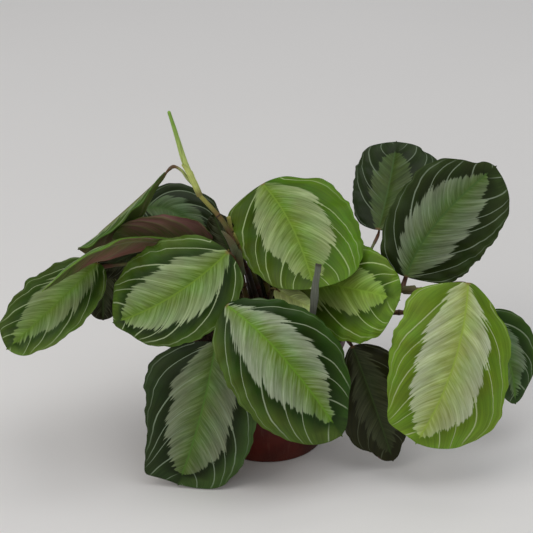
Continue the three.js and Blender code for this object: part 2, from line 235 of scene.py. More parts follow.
# Each blade in mm: the base, middle and tip of its midrib, the way its upper side faces, its look,
# the half widths from base to tip right and left of the midrib, and what differs from plainBlade.
plainBlade = dict(
    bend=(0, 0), fold=(0, 0),  # degrees that the right and left halves curl and fold
    wave=(0.8, 3),  # height and number of the margin's waves
    quilt=0.9,  # how far the blade puffs up between the veins
    veins=4.6,  # lateral veins along the blade
    close=(0.955, 0.3, 0.55),  # where the silver zone ends, over what share, and how bluntly
    sweep=(0, 0),  # mm by which the halves of a blunt tip are carried onward
    notches=[])  # dips in the margin: half, share of the length, depth and spread as shares
blades = {
    "front_right": dict(
        line=[(146, -40, 155), (135, -72, 104), (110, -78, 41)], faces=(0.05, -0.8, 0.6), look="fresh",
        right=(38, 45, 49, 40, 23), left=(14, 35, 43, 47, 26), bend=(-25, -25), wave=(0.8, 4), quilt=1.2,
        veins=5.4, close=(0.975, 0.24, 0.5), sweep=(10, 0),
        notches=[(1, 0.15, 0.07, 0.03), (0, 0.95, -0.08, 0.05), (1, 0.93, -0.06, 0.05)]),
    "front_left": dict(
        line=[(-38, -58, 115), (-50, -76, 61), (-67, -78, 4)], faces=(0, -0.95, 0.25), look="deep",
        right=(30, 46, 42, 33, 25), left=(22, 36, 42, 40, 28), bend=(-12, -6), wave=(1.0, 4), quilt=0.7,
        veins=5.6, close=(0.93, 0.26, 0.45), sweep=(9, 0),
        notches=[(0, 0.95, -0.07, 0.05), (1, 0.94, -0.06, 0.05)]),
    "front_centre": dict(
        line=[(-30, -56, 145), (10, -80, 117), (54, -80, 49)], faces=(0.1, -0.75, 0.6), look="silver",
        right=(24, 37, 45, 43, 26), left=(12, 28, 40, 37, 16), bend=(-20, -15), wave=(1.0, 5), quilt=0.8,
        veins=5.6, close=(0.94, 0.3, 0.6),
        notches=[(1, 0.03, 0.25, 0.015), (1, 0.1, 0.1, 0.02), (1, 0.2, 0.05, 0.02)]),
    "top_right": dict(
        line=[(104, 0, 138), (125, 4, 181), (165, -6, 232)], faces=(-0.1, -0.9, 0.3), look="shade",
        right=(30, 39, 42, 39, 26), left=(20, 30, 36, 34, 14), bend=(-5, -10), wave=(1.4, 4), quilt=1.0,
        veins=5.6, close=(0.95, 0.25, 0.5),
        notches=[(1, 0.94, 0.2, 0.022), (1, 0.84, -0.03, 0.03), (1, 0.62, 0.05, 0.03),
                 (1, 0.45, 0.03, 0.04)]),
    "top_centre": dict(
        line=[(-4, 60, 187), (18, 18, 172), (34, -38, 149)], faces=(0, -0.5, 0.85), look="lime",
        right=(32, 42, 45, 40, 27), left=(24, 46, 50, 46, 32), bend=(-15, -15), wave=(1.2, 4), veins=5.0),
    "centre_left": dict(
        line=[(-29, -24, 172), (-70, -44, 146), (-113, -46, 125)], faces=(-0.1, -0.75, 0.6), look="bright",
        right=(24, 38, 42, 38, 24), left=(22, 36, 37, 28, 9), bend=(-12, -12), wave=(1.2, 5), veins=5.2,
        close=(0.94, 0.22, 0.42), notches=[(1, 0.06, -0.1, 0.04), (0, 0.05, -0.1, 0.04)]),
    "centre_right": dict(
        line=[(9, 8, 133), (58, -14, 137), (97, -32, 136)], faces=(0.1, -0.75, 0.55), look="sunny",
        right=(24, 31, 39, 38, 26), left=(14, 28, 36, 28, 15), bend=(-15, -15), wave=(1.4, 4), quilt=0.8,
        close=(0.88, 0.3, 0.5)),
    "far_left": dict(
        line=[(-127, -5, 153), (-156, -34, 135), (-191, -55, 108)], faces=(-0.2, -0.45, 0.85), look="dull",
        right=(21, 29, 35, 31, 22), left=(14, 24, 28, 24, 15), bend=(-12, -12), wave=(1.2, 4)),
    "back_right": dict(
        line=[(84, 35, 160), (94, 75, 178), (102, 118, 196)], faces=(-0.1, -0.3, 0.95), look="dim",
        right=(22, 34, 37, 36, 24), left=(16, 24, 28, 28, 21), bend=(-5, -5), wave=(1.1, 4), quilt=1.0,
        close=(0.9, 0.3, 0.5), notches=[(0, 0.92, 0.16, 0.03), (0, 0.8, -0.05, 0.05)]),
    "low_right": dict(
        line=[(63, -34, 98), (79, -48, 58), (95, -52, 8)], faces=(0.1, -0.9, 0.2), look="dusk",
        right=(8, 18, 27, 26, 15), left=(16, 28, 30, 26, 12), bend=(-15, -10), wave=(1.4, 4),
        notches=[(0, 0.92, 0.4, 0.07), (1, 0.93, 0.45, 0.07)]),
    "back_left": dict(
        line=[(-97, 52, 170), (-69, 46, 168), (-48, 34, 144)], faces=(0.2, -0.6, 0.7), look="hidden",
        right=(14, 22, 24, 22, 12), left=(10, 21, 26, 27, 16), quilt=1.2),
    "far_right": dict(
        line=[(164, 0, 106), (183, -12, 76), (191, -14, 35)], faces=(0.4, -0.8, 0.3), look="half",
        right=(10, 20, 24, 18, 8), left=(14, 24, 26, 20, 8), wave=(1.0, 3), quilt=0.8),
    "arched": dict(
        line=[(-75, 8, 221), (-108, 0, 192), (-140, -10, 167)], faces=(-0.4, 0.8, 0.6), look="folded",
        right=(5, 12, 20, 26, 30), left=(6, 13, 15, 17, 18), fold=(-12, -50), quilt=0.7,
        notches=[(0, 0.1, 0.4, 0.1), (0, 0.9, -0.2, 0.05)]),
    "edge_upper": dict(
        line=[(-42, 16, 161), (-79, 8, 167), (-116, 0, 169)], faces=(0.05, 0.9, 0.4), look="streaked",
        right=(10, 17, 19, 17, 10), left=(10, 20, 23, 21, 13), bend=(10, 20), quilt=1.6),
    "edge_lower": dict(
        line=[(-48, 2, 157), (-109, -16, 176), (-161, -60, 160)], faces=(0, 0.7, 0.7), look="edged",
        right=(8, 13, 17, 15, 8), left=(6, 12, 20, 21, 14), bend=(0, -20), fold=(-25, 0), quilt=1.2,
        veins=4.8),
    "small_left": dict(
        line=[(-123, 30, 135), (-126, 22, 115), (-127, 16, 92)], faces=(0.1, -0.9, 0.3), look="dusk",
        right=(8, 14, 16, 13, 8), left=(8, 14, 16, 13, 8), wave=(0.6, 3), quilt=0.5, veins=5),
}

# Small leaves that show between the large ones: a withered, a pale and two shaded ones. The pale one's light
# colours are painted light; the others' dark colours are painted shade.
smallBlades = {
    "withered": dict(
        line=[(-9, 12, 137), (2, 14, 124), (16, 14, 106)], faces=(0.35, -0.75, 0.5), look="dusk",
        right=(6, 9, 10, 9, 5), left=(5, 8, 9, 7, 4), bend=(-30, -20), wave=(1.2, 4), veins=4),
    "pale": dict(
        line=[(6, -14, 136), (20, -28, 134), (35, -38, 132)], faces=(0.1, -0.8, 0.6), look="pale",
        right=(5, 8, 9, 8, 5), left=(5, 7, 8, 6, 3), bend=(-20, -20), wave=(0.5, 3), quilt=0.3, veins=4),
    "screen": dict(
        line=[(-28, 14, 150), (-35, 22, 164), (-41, 28, 177)], faces=(0.1, -0.9, 0.3), look="dusk",
        right=(7, 10, 11, 9, 5), left=(7, 10, 11, 9, 5), bend=(-10, -10), quilt=0.6, veins=4),
    "shaded": dict(
        line=[(-91, 10, 157), (-109, 7, 150), (-128, 4, 140)], faces=(0.1, -0.8, 0.5), look="dusk",
        right=(8, 11, 12, 10, 6), left=(8, 12, 13, 11, 7), bend=(-10, -10), quilt=0.6, veins=4),
}

# How a leaf is coloured: the dark zone, the margin, the silver zone, the glow round the midrib, the
# midrib, the veins, the underside, how far the silver reaches out of 1, and how much of it glows.
lookParts = ("dark", "edge", "silver", "glow", "rib", "vein", "under", "reach", "glowReach")
# Painted light and shade: sunny and pale are lighter copies standing in for light, and shade, hidden, dim and
# dusk are darker copies standing in for shade.
looks = {
    "fresh": ("#5e7c1c", "#6f922c", "#b6c0a2", "#98ac56", "#98b246", "#bcc896", "#7c7c50", 0.54, 0.62),
    "bright": ("#27400c", "#4f6c24", "#93a37c", "#60802a", "#70902e", "#b4c498", "#74584c", 0.55, 0.64),
    "lime": ("#365004", "#496216", "#98a67a", "#648422", "#76942e", "#aec088", "#785e4c", 0.56, 0.66),
    "silver": ("#213a08", "#4c6424", "#99a68a", "#66882e", "#6c982e", "#a4b292", "#72544a", 0.56, 0.5),
    "deep": ("#1a280a", "#2b3c1c", "#747e64", "#546e31", "#52782f", "#8c9c82", "#6c4c44", 0.56, 0.5),
    "shade": ("#222f10", "#34451f", "#849078", "#547035", "#4c6c36", "#93a28a", "#6e5048", 0.54, 0.6),
    # painted shade: a darker copy of shade for a leaf hidden behind others
    "hidden": ("#1e2a12", "#2a381a", "#57674c", "#40592b", "#3e5a28", "#76856c", "#6e5048", 0.5, 0.6),
    "half": ("#2a4218", "#466428", "#74876a", "#567a34", "#5c8434", "#95a686", "#6e5048", 0.5, 0.5),
    "dim": ("#1e2a10", "#28381a", "#4a5938", "#3a4e1c", "#405a2a", "#788670", "#6e5048", 0.48, 0.55),
    "dull": ("#2c4410", "#425720", "#76865c", "#5b7a29", "#5c7a28", "#a0b084", "#74584c", 0.55, 0.56),
    "folded": ("#405c20", "#567a2c", "#7c8c60", "#68843a", "#6a8836", "#94a47a", "#7c5c52", 0.5, 0.5),
    "edged": ("#4c7028", "#6c9238", "#93a472", "#7f9c44", "#7c9c40", "#b4c498", "#8e6256", 0.5, 0.5),
    "streaked": ("#3c5620", "#507028", "#7c8c60", "#68843a", "#6a8836", "#94a47a", "#8c605d", 0.5, 0.5),
    # painted light: a lighter copy for a leaf that lies under another leaf's shadow
    "sunny": ("#385406", "#5e8222", "#889a5e", "#7ca034", "#86aa38", "#b6ca8a", "#785e4c", 0.5, 0.66),
    "dusk": ("#24260f", "#2a2c14", "#3e432c", "#2e361a", "#364820", "#545a44", "#553c36", 0.5, 0.4),
    # painted light: very light colours standing in for light on a small leaf that lies in shade
    "pale": ("#c8dc8c", "#cede92", "#d2e29c", "#c8de86", "#c4d67e", "#ccd898", "#a8a878", 0.3, 0.5),
}
# Painted light and shade: a leaf lit from one side gets a lighter or darker dark zone or margin on its left
# half. A flush is where the purple underside begins, is full, starts to fade and ends, in mm from the base.
lookExtras = {
    "bright": dict(darkLeft="#1e3209", edgeLeft="#46621f"),
    "lime": dict(darkLeft="#426604", edgeLeft="#547c12"),
    "silver": dict(darkLeft="#1b3206", edgeLeft="#33501a"),
    "deep": dict(edgeLeft="#3e5728"),
    "dull": dict(edgeLeft="#5e7c2e"),
    "folded": dict(flush=(44, 62, 92, 104)),
    "edged": dict(flush=(-2, -1, 98, 114)),
    "streaked": dict(flush=(-2, -1, 62, 72)),
}
looks = {name: {**dict(zip(lookParts, row)), **lookExtras.get(name, {})} for name, row in looks.items()}

# Points along a blade and from its midrib to its margin; mm of thickness and of the raised midrib
# below; the nub at the tip and the margin's unevenness as shares.
bladeMesh = {"stations": 88, "across": 26, "thickness": 0.6, "ridge": 0.9, "nub": 0.012, "uneven": 0.014}
feather = {"streak": 1.5, "pitch": 19, "length": 15, "veinWidth": 0.6}  # mm
leafTones = {"base": "#7c5638", "underGreen": "#5a6a30", "underVein": "#7c7a50"}


def upperMaterial(name, look):
    # Fresh leaf under a thin cuticle: satin, with wide soft highlights over a feathered pattern
    material, add = newMaterial(name)
    vein = splitMap(add, "veinMap")
    zone = splitMap(add, "zoneMap")
    flat = splitMap(add, "flatMap")
    number, pitch = vein.outputs["X"], vein.outputs["Y"]  # counts the veins; mm between them
    past, reach = zone.outputs["X"], zone.outputs["Y"]  # mm past the silver; 0 midrib, 1 margin
    off = add("Math", [flat.outputs["Y"]], operation="ABSOLUTE")  # mm off the midrib

    # feathering: noise drawn out along the lateral veins, one streak about every 1.5 mm
    lines = add("Math", [number, feather["pitch"] / feather["streak"]], operation="MULTIPLY")
    run = add("Math", [off, 1 / feather["length"]], operation="MULTIPLY")
    plumes = add("CombineXYZ", [lines, run])
    streak = add("TexNoise", {"Vector": plumes, "Scale": 1.0, "Detail": 3.0, "Roughness": 0.62})
    tuft = add("TexNoise", {"Vector": plumes, "Scale": 0.42, "Detail": 1.0})
    blotch = add("TexNoise", {"Vector": add("UVMap", uv_map="flatMap"), "Scale": 0.045, "Detail": 3.0})

    # the silver ends in teeth along the streaks
    teeth = add("Math", [streak, tuft], operation="ADD")
    tooth = add("MapRange", [teeth, 0.6, 1.4, 4.0, -4.0])
    shore = add("Math", [past, tooth], operation="ADD")
    silvered = add("MapRange", [shore, -0.9, 0.7, 1.0, 0.0], interpolation_type="SMOOTHSTEP")
    spread = add("MapRange", [streak, 0.3, 0.7, -0.12, 0.12])
    near = add("Math", [reach, spread], operation="ADD")
    glow = add("MapRange", [near, 0.03, look["glowReach"], 1.0, 0.0])
    inner = add("Mix", {0: glow, 6: look["silver"], 7: look["glow"]})
    # painted light and shade: the left half takes its own lighter or darker dark zone and margin colours
    paintedShadingLeft = add("MapRange", [flat.outputs["Y"], -1.0, 1.0, 1.0, 0.0])
    dark, edge = (add("Mix", {0: paintedShadingLeft, 6: look[part], 7: look.get(part + "Left", look[part])})
                  for part in ("dark", "edge"))
    outer = lay(add, dark, edge, shore, 3.0, 15.0, 0.0, 1.0)
    flesh = add("Mix", {0: silvered, 6: outer, 7: inner})

    # streaks and cloudy patches vary the value and the hue; painted shade across the pleats makes each vein
    # lighter and the middle between veins darker
    light = add("MapRange", [streak, 0.3, 0.7, 0.78, 1.22])
    patch = add("MapRange", [blotch, 0.3, 0.7, 0.9, 1.1])
    gap = add("Math", [number, 0.5], operation="PINGPONG")
    # painted shade: lighter at each vein, darker midway between veins, as if light fell across the pleats
    paintedPleatShade = add("MapRange", [gap, 0.0, 0.5, 1.08, 0.9])
    broad = add("MapRange", [tuft, 0.35, 0.65, 0.86, 1.14])
    bands = add("Math", [light, broad], operation="MULTIPLY")
    fine = add("Math", [bands, patch], operation="MULTIPLY")
    value = add("Math", [fine, paintedPleatShade], operation="MULTIPLY")
    turn = add("MapRange", [blotch, 0.3, 0.7, 0.482, 0.508])
    varied = add("HueSaturation", {"Color": flesh, "Value": value, "Hue": turn})

    # lateral veins: thin pale lines, stronger over the dark zone
    away = add("Math", [gap, pitch], operation="MULTIPLY")
    half = feather["veinWidth"] / 2
    line = add("MapRange", [away, half * 0.4, half * 1.9, 1.0, 0.0], interpolation_type="SMOOTHSTEP")
    rise = add("MapRange", [reach, 0.08, 0.4, 0.0, 1.0])
    fall = add("MapRange", [reach, 0.8, 1.0, 1.0, 0.0])
    shown = add("MapRange", {0: silvered, 3: 0.85, 4: 0.45})
    fade = add("Math", [rise, fall], operation="MULTIPLY")
    faded = add("Math", [fade, shown], operation="MULTIPLY")
    traced = add("Math", [line, faded], operation="MULTIPLY")
    veined = add("Mix", {0: traced, 6: varied, 7: look["vein"]})
    thin = add("MapRange", [off, 0.25, 1.0, 0.8, 0.0], interpolation_type="SMOOTHSTEP")
    ends = add("MapRange", [past, 0.0, 5.0, 1.0, 0.0])
    rib = add("Math", [thin, ends], operation="MULTIPLY")
    ribbed = add("Mix", {0: rib, 6: veined, 7: look["rib"]})
    fromBase = add("VectorMath", [add("UVMap", uv_map="flatMap")], operation="LENGTH").outputs["Value"]
    colour = lay(add, ribbed, leafTones["base"], fromBase, 0.8, 3.0, 0.7, 0.0)

    # veins stand slightly proud and the streaks are fine pleats
    pleats = add("Math", [streak, 0.5], operation="MULTIPLY")
    height = add("Math", [traced, pleats], operation="ADD")
    satin = add("MapRange", [streak, 0.3, 0.7, 0.36, 0.44])
    addSurface(add, colour, satin, (height, 0.5, 0.35), specular=0.16)
    return material


def underMaterial(name, look):
    # Underside: matt purple flush over green, paler along the raised veins
    material, add = newMaterial(name)
    vein = splitMap(add, "veinMap")
    zone = splitMap(add, "zoneMap")
    flat = splitMap(add, "flatMap")
    off = add("Math", [flat.outputs["Y"]], operation="ABSOLUTE")
    lines = add("Math", [vein.outputs["X"], 10.0], operation="MULTIPLY")
    run = add("Math", [off, 1 / feather["length"]], operation="MULTIPLY")
    plumes = add("CombineXYZ", [lines, run])
    streak = add("TexNoise", {"Vector": plumes, "Scale": 1.0, "Detail": 2.0})
    flush = add("MapRange", [zone.outputs["Y"], 0.0, 0.9, 0.2, 1.0])
    mottled = add("MapRange", [streak, 0.3, 0.7, -0.3, 0.3])
    purple = add("Math", [flush, mottled], operation="ADD", use_clamp=True)
    begin, full, less, none = look.get("flush", (-2, -1, 999, 1000))  # mm along the blade
    rises = add("MapRange", [flat.outputs["X"], begin, full, 0.0, 1.0])
    falls = add("MapRange", [flat.outputs["X"], less, none, 1.0, 0.0])
    where = add("Math", [rises, falls], operation="MULTIPLY")
    amount = add("Math", [purple, where], operation="MULTIPLY")
    flesh = add("Mix", {0: amount, 6: leafTones["underGreen"], 7: look["under"]})
    gap = add("Math", [vein.outputs["X"], 0.5], operation="PINGPONG")
    away = add("Math", [gap, vein.outputs["Y"]], operation="MULTIPLY")
    line = add("MapRange", [away, 0.3, 1.1, 0.5, 0.0], interpolation_type="SMOOTHSTEP")
    rib = add("MapRange", [off, 0.6, 1.8, 0.9, 0.0])
    raised = add("Math", [line, rib], operation="MAXIMUM")
    colour = add("Mix", {0: raised, 6: flesh, 7: leafTones["underVein"]})
    addSurface(add, colour, 0.6, (raised, 0.6, 0.5), specular=0.35)
    return material


def halfWidths(widths, share):
    # smooth curve through the half widths at even angles, round at both ends
    knots = np.array([-widths[0], 0, *widths, 0, -widths[-1]], float)
    place = np.arccos(1 - 2 * np.clip(share, 0, 1)) / math.pi * (len(widths) + 1)
    k = np.minimum(place.astype(int), len(widths))
    f = place - k
    a, b, c, d = (knots[k + n] for n in range(4))
    curve = 2 * b + (c - a) * f + (2 * a - 5 * b + 4 * c - d) * f ** 2
    return np.maximum((curve + (3 * b - a - 3 * c + d) * f ** 3) / 2, 0)


def veinNumbers(width, share, length, off, count):
    # Veins leave the midrib at about 50 degrees and swing round to run along the margin;
    # at a blunt tip they run straight on to it
    body = (width ** 4 + (0.6 * width.max() * smooth(share, 0.6, 0.95)) ** 4) ** 0.25
    body = np.maximum(body, 0.45 * width.max())
    fine = (1 - np.cos(np.linspace(0, math.pi, 400))) / 2
    rate = math.tan(math.radians(50)) * length / np.interp(fine, share, body)
    climb = np.concatenate([[0], np.cumsum((rate[1:] + rate[:-1]) / 2 * np.diff(fine))])
    swing = -np.log(1 - 0.94 * np.minimum(off / body[:, None], 1))
    level = np.interp(share, fine, climb)[:, None] - swing
    start = np.interp(level, climb, fine)
    start = np.where(level < 0, level / rate[0], start)
    return start * count


def makeBlade(name, leaf, seed):
    leaf = {**plainBlade, **leaf}
    look = looks[leaf["look"]]
    rng = random.Random(seed)
    rows, across, nubShare = (bladeMesh[k] for k in ("stations", "across", "nub"))
    base, mid, tip = np.array(leaf["line"], float)
    pull = 2 * mid - (base + tip) / 2
    angle = np.linspace(0.04, math.pi - 0.02, rows)
    share = (1 - np.cos(angle)) / 2 * (1 + nubShare)
    s = share[:, None]
    spine = (1 - s) ** 2 * base + 2 * s * (1 - s) * pull + s * s * tip
    along = unit((1 - s) * (pull - base) + s * (tip - pull))
    facing = np.array(leaf["faces"], float)
    up = unit(facing - (along @ facing)[:, None] * along)
    side = np.cross(along, up)
    length = np.linalg.norm(np.diff(spine, axis=0), axis=1).sum()
    t = np.array([math.copysign(abs(j / across) ** 1.2, j) for j in range(-across, across + 1)])
    nub = 2.0 * np.clip((1 + nubShare - share) / (2.4 * nubShare), 0, 1)
    phase = [rng.uniform(0, 6.3) for _ in range(6)]
    swing = leaf["wave"][1] * fullTurn * share
    ease = np.sin(np.clip(angle, 0, math.pi)) ** 0.7
    arcSteps = 12

    grid = np.zeros((rows, len(t), 3))
    flatY, number, pitch = np.zeros((3, rows, len(t)))
    outline = []
    for half, sign in enumerate((1, -1)):
        # the half's outline, slightly uneven, drawn out to a small nub at the tip
        ripples = np.sin(swing * 1.3 + phase[half]) + 0.6 * np.sin(swing * 3.1 + phase[half + 2])
        uneven = 1 + bladeMesh["uneven"] * ripples
        for notched, place, depth, spread in leaf["notches"]:
            if notched == half:
                uneven = uneven - depth * np.exp(-((share - place) / spread) ** 2)
        body = halfWidths(leaf["left" if half else "right"], share)
        width = (body ** 3 + nub ** 3) ** (1 / 3)
        outline.append(width)

        # its points: each row is an arc out from the midrib, bent and folded
        columns = np.where(t <= 0 if half else t >= 0)[0]
        outs = np.abs(t[columns])
        for j, far in zip(columns, outs):
            spread = width * far * (1 + (uneven - 1) * far ** 5)
            out, lift = np.zeros((2, rows))
            for n in range(arcSteps):
                bent = math.radians(leaf["fold"][half] + leaf["bend"][half] * far * (n + 0.5) / arcSteps)
                out += np.cos(bent * ease) * spread / arcSteps
                lift += np.sin(bent * ease) * spread / arcSteps
            broad = np.minimum(spread / (0.55 * width.max()), 1) ** 2
            onward = leaf["sweep"][half] * broad * smooth(share, 0.55, 1.0)
            grid[:, j] = spine + side * (sign * out)[:, None] + up * lift[:, None] + along * onward[:, None]
            flatY[:, j] = sign * spread

        # the count of veins at each point, and the mm between them
        counted = veinNumbers(width, share, length, width[:, None] * outs, leaf["veins"])
        perY = np.gradient(counted, outs, axis=1) / np.maximum(width, 1)[:, None]
        slope = np.gradient(width, share)[:, None] * outs[None, :]
        perX = (np.gradient(counted, share, axis=0) - perY * slope) / length
        number[:, columns] = counted
        pitch[:, columns] = np.clip(1 / np.hypot(perX, perY), 3, 40)
    number += 0.13 * np.sin(number * 2.3 + phase[4])

    # relief: quilted between the veins, grooved at the midrib, wavy at the margin
    reach = np.abs(t)[None, :]
    facingUp = unit(np.cross(np.gradient(grid, axis=1), np.gradient(grid, axis=0)))
    endFade = (smooth(share, 0, 0.12) * (1 - smooth(share, 0.9, 1.0)))[:, None]
    offset = np.where(t < 0, 0.5, 0.0)[None, :]
    puffed = np.abs(np.sin(math.pi * (number + offset))) - 0.55
    relief = leaf["quilt"] * puffed * smooth(reach, 0.05, 0.35) * (1 - smooth(reach, 0.85, 1)) * endFade
    relief -= 0.9 * np.exp(-(flatY / 2.4) ** 2) * endFade
    height, waves = leaf["wave"]
    ripple = np.sin(share * waves * 6.283 + phase[5]) + 0.5 * np.sin(share * waves * 11 + phase[3])
    relief = relief + height * reach ** 3 * ripple[:, None] * endFade * np.where(t < 0, 1, -1)[None, :]
    grid = grid + facingUp * relief[:, :, None]
    facingUp = unit(np.cross(np.gradient(grid, axis=1), np.gradient(grid, axis=0)))

    ridge = bladeMesh["ridge"] * np.exp(-(flatY / 1.3) ** 2) * (1 - 0.7 * share)[:, None] * endFade
    top = grid + facingUp * bladeMesh["thickness"] / 2
    bottom = grid - facingUp * (bladeMesh["thickness"] / 2 + ridge)[:, :, None]
    bottom[0], bottom[-1] = (top[0] + bottom[0]) / 2, (top[-1] + bottom[-1]) / 2

    # mm past the silver zone's edge
    end, span, blunt = leaf["close"]
    spanned = np.minimum(0.5 + share / 0.28 * 0.5, 1) * np.clip((end - share) / span, 0, 1) ** blunt
    steps = 0.08 * ((number + offset) % 1 - 0.5)
    widths = np.where(t < 0, outline[1][:, None], outline[0][:, None])
    past = (reach - look["reach"] * spanned[:, None] - steps) * widths
    past = past + np.maximum(share - end + 0.03, 0)[:, None] * length * 1.2

    # corner values, counted for each half so that left and right veins alternate
    columns = len(t)
    total = rows * columns
    faces, rim = sheetFaces(rows, columns)
    skinFaces = (rows - 1) * (columns - 1)
    vertex = faces.ravel()
    row, column = np.divmod(vertex % total, columns)
    middle = np.repeat((t[column].reshape(-1, 4)).mean(1), 4)
    counts = number[row, column] + np.where(middle < 0, 0.5 + 20 * seed, 10 + 20 * seed)

    # the layout for baking: upper side left, underside right, and the rim's lower points just
    # outside the upper side
    low = vertex >= total
    isRim = np.repeat(np.arange(len(faces)) >= 2 * skinFaces, 4)
    bakeX = 0.235 * flatY[row, column] / np.max(outline)
    bakeX = np.where(isRim & low, bakeX * 1.03 + np.sign(t[column]) * 0.003, bakeX)
    bakeX = np.where(low & ~isRim, 0.75 - bakeX, 0.25 + bakeX)
    bakeY = 0.02 + 0.94 * share[row] / share.max()
    bakeY = np.where(isRim & low & (row == 0), bakeY - 0.006, bakeY)
    bakeY = np.where(isRim & low & (row == rows - 1), bakeY + 0.006, bakeY)
    maps = {
        "OFBake": np.stack([bakeX, bakeY], 1),
        "veinMap": np.stack([counts, pitch[row, column]], 1),
        "zoneMap": np.stack([past[row, column], reach[0, column]], 1),
        "flatMap": np.stack([share[row] * length, flatY[row, column]], 1),
    }
    points = np.concatenate([top.reshape(-1, 3), bottom.reshape(-1, 3)])
    slots = [0] * skinFaces + [1] * skinFaces + [0] * len(rim)
    piece = makePiece("blade_" + name, points, faces.tolist(), skins[leaf["look"]], slots, maps,
                      [rim, rim + total])
    if name in blades:
        stand(piece, slotOf["leaf_" + name], "leaf_" + name)
    else:
        stand(piece, "leaf_bright" if name == "pale" else "leaf_dark")


slotOf = {part["node"]: part["material_slot"] for part in frame["record"]["subparts"]}
skins = {name: [upperMaterial("satinLeaf_" + name, look), underMaterial("mattLeafUnderside_" + name, look)]
         for name, look in looks.items()}
for seed, (name, leaf) in enumerate([*blades.items(), *smallBlades.items()], 3):
    makeBlade(name, leaf, seed)
print("blades made")


# curves and tubes

sideways = (0.31, -0.95, 0.05)  # where a tube's first corner points


def routeThrough(points, count):
    # evenly spaced points on a smooth curve through the given ones
    p = [np.array(q, float) for q in points]
    p = [2 * p[0] - p[1], *p, 2 * p[-1] - p[-2]]
    fine = []
    for a, b, c, d in zip(p, p[1:], p[2:], p[3:]):
        ab, bc, cd = (math.sqrt(np.linalg.norm(v)) for v in (b - a, c - b, d - c))
        out = ((b - a) / ab - (c - a) / (ab + bc) + (c - b) / bc) * bc
        into = ((c - b) / bc - (d - b) / (bc + cd) + (d - c) / cd) * bc
        f = np.linspace(0, 1, 40, endpoint=False)[:, None]
        fine.append(b * (2 * f ** 3 - 3 * f ** 2 + 1) + out * (f ** 3 - 2 * f ** 2 + f)
                    + c * (3 * f ** 2 - 2 * f ** 3) + into * (f ** 3 - f ** 2))
    fine = np.vstack([*fine, p[-2][None]])
    run = np.concatenate([[0], np.cumsum(np.linalg.norm(np.diff(fine, axis=0), axis=1))])
    even = np.linspace(0, run[-1], count)
    return np.stack([np.interp(even, run, fine[:, k]) for k in range(3)], 1), run[-1]


def framesAlong(path, first):
    along = unit(np.gradient(path, axis=0))
    side = np.zeros_like(path)
    last = np.array(first, float)
    for i, forward in enumerate(along):
        last = unit(last - (last @ forward) * forward)
        side[i] = last
    return along, side, np.cross(along, side)


def makeTube(name, path, radii, material, sides, knots=(), ends=(0.5, 0.5), first=sideways):
    # a round skin along a path; knots are the distances, in mm, of the rings on it, and ends is how
    # far each end bulges out, as a share of its radius
    count = len(path)
    along, side, other = framesAlong(path, first)
    run = np.concatenate([[0], np.cumsum(np.linalg.norm(np.diff(path, axis=0), axis=1))])
    radii = np.asarray(radii, float)
    if radii.ndim == 1:
        radii = np.repeat(radii[:, None], sides, 1)
    turn = np.arange(sides) / sides * fullTurn
    ring = path[:, None] + radii[:, :, None] * (np.cos(turn)[None, :, None] * side[:, None]
                                                + np.sin(turn)[None, :, None] * other[:, None])
    foot = path[0] - along[0] * radii[0].mean() * ends[0]
    head = path[-1] + along[-1] * radii[-1].mean() * ends[1]
    points = np.vstack([ring.reshape(-1, 3), foot[None], head[None]])
    i, j = np.meshgrid(np.arange(count - 1), np.arange(sides), indexing="ij")
    a, b = (i * sides + j).ravel(), (i * sides + (j + 1) % sides).ravel()
    faces = np.stack([a, b, b + sides, a + sides], 1).tolist()
    last = (count - 1) * sides
    for k in range(sides):
        faces.append([count * sides, (k + 1) % sides, k])
        faces.append([count * sides + 1, last + k, last + (k + 1) % sides])
    vertex = np.array([v for face in faces for v in face])
    row = np.minimum(vertex // sides, count - 1)
    row = np.where(vertex == count * sides, 0, row)
    at, column = run[row], vertex % sides
    knot = np.min([np.abs(run - k) for k in knots], axis=0)[row] if len(knots) else np.full(len(row), 99.0)
    maps = {
        "runMap": np.stack([at, run[-1] - at], 1),
        "roundMap": np.stack([np.cos(turn[column]), np.sin(turn[column])], 1),
        "knotMap": np.stack([knot, knot * 0], 1),
    }
    return makePiece(name, points, faces, [material], maps=maps)


def roughness(run, sides, pace, around, shift):
    # slow bumps along a tube and round it
    return np.array([[noise.noise(Vector((r * pace, math.cos(a) * around, math.sin(a) * around + shift)))
                      for a in np.arange(sides) / sides * fullTurn] for r in run])


# stems

# Each stem in mm: radius, how much it tapers, where its joints are as shares of its length, and its
# route from the soil up.
soilTop = 84
rootDepth = 10
stemSteps = 200
stems = {
    "left": dict(radius=2.6, taper=0.38, joints=(0.1, 0.24, 0.34, 0.42, 0.5, 0.56, 0.7, 0.86),
                 route=[(-10, 4, soilTop), (-10, 4, 94), (-16, -2, 120), (-23.5, -10, 164),
                        (-32, -10, 188), (-50, -6, 209.4)]),
    "right": dict(radius=2.6, taper=0.16, joints=(0.16, 0.36, 0.6, 0.86, 0.97),
                  route=[(12, 2, soilTop), (12, 2, 92), (38, 8, 110), (70, 5, 123), (100, -2, 128),
                         (118, -14, 134)]),
    "low": dict(radius=2.2, taper=0.16, joints=(0.2, 0.5, 0.78),
                route=[(20, 14, soilTop), (20, 14, 90), (54, 13, 100), (97, 6, 104), (128, 3, 106)]),
}
# dry and husk are near black: partly dry tissue, partly painted shade
stemColours = {"bark": "#5b4327", "green": "#686830", "ring": "#2a1a12", "flush": "#6b3626",
               "dry": "#2c2018", "husk": "#39331f", "young": "#a2a04c"}


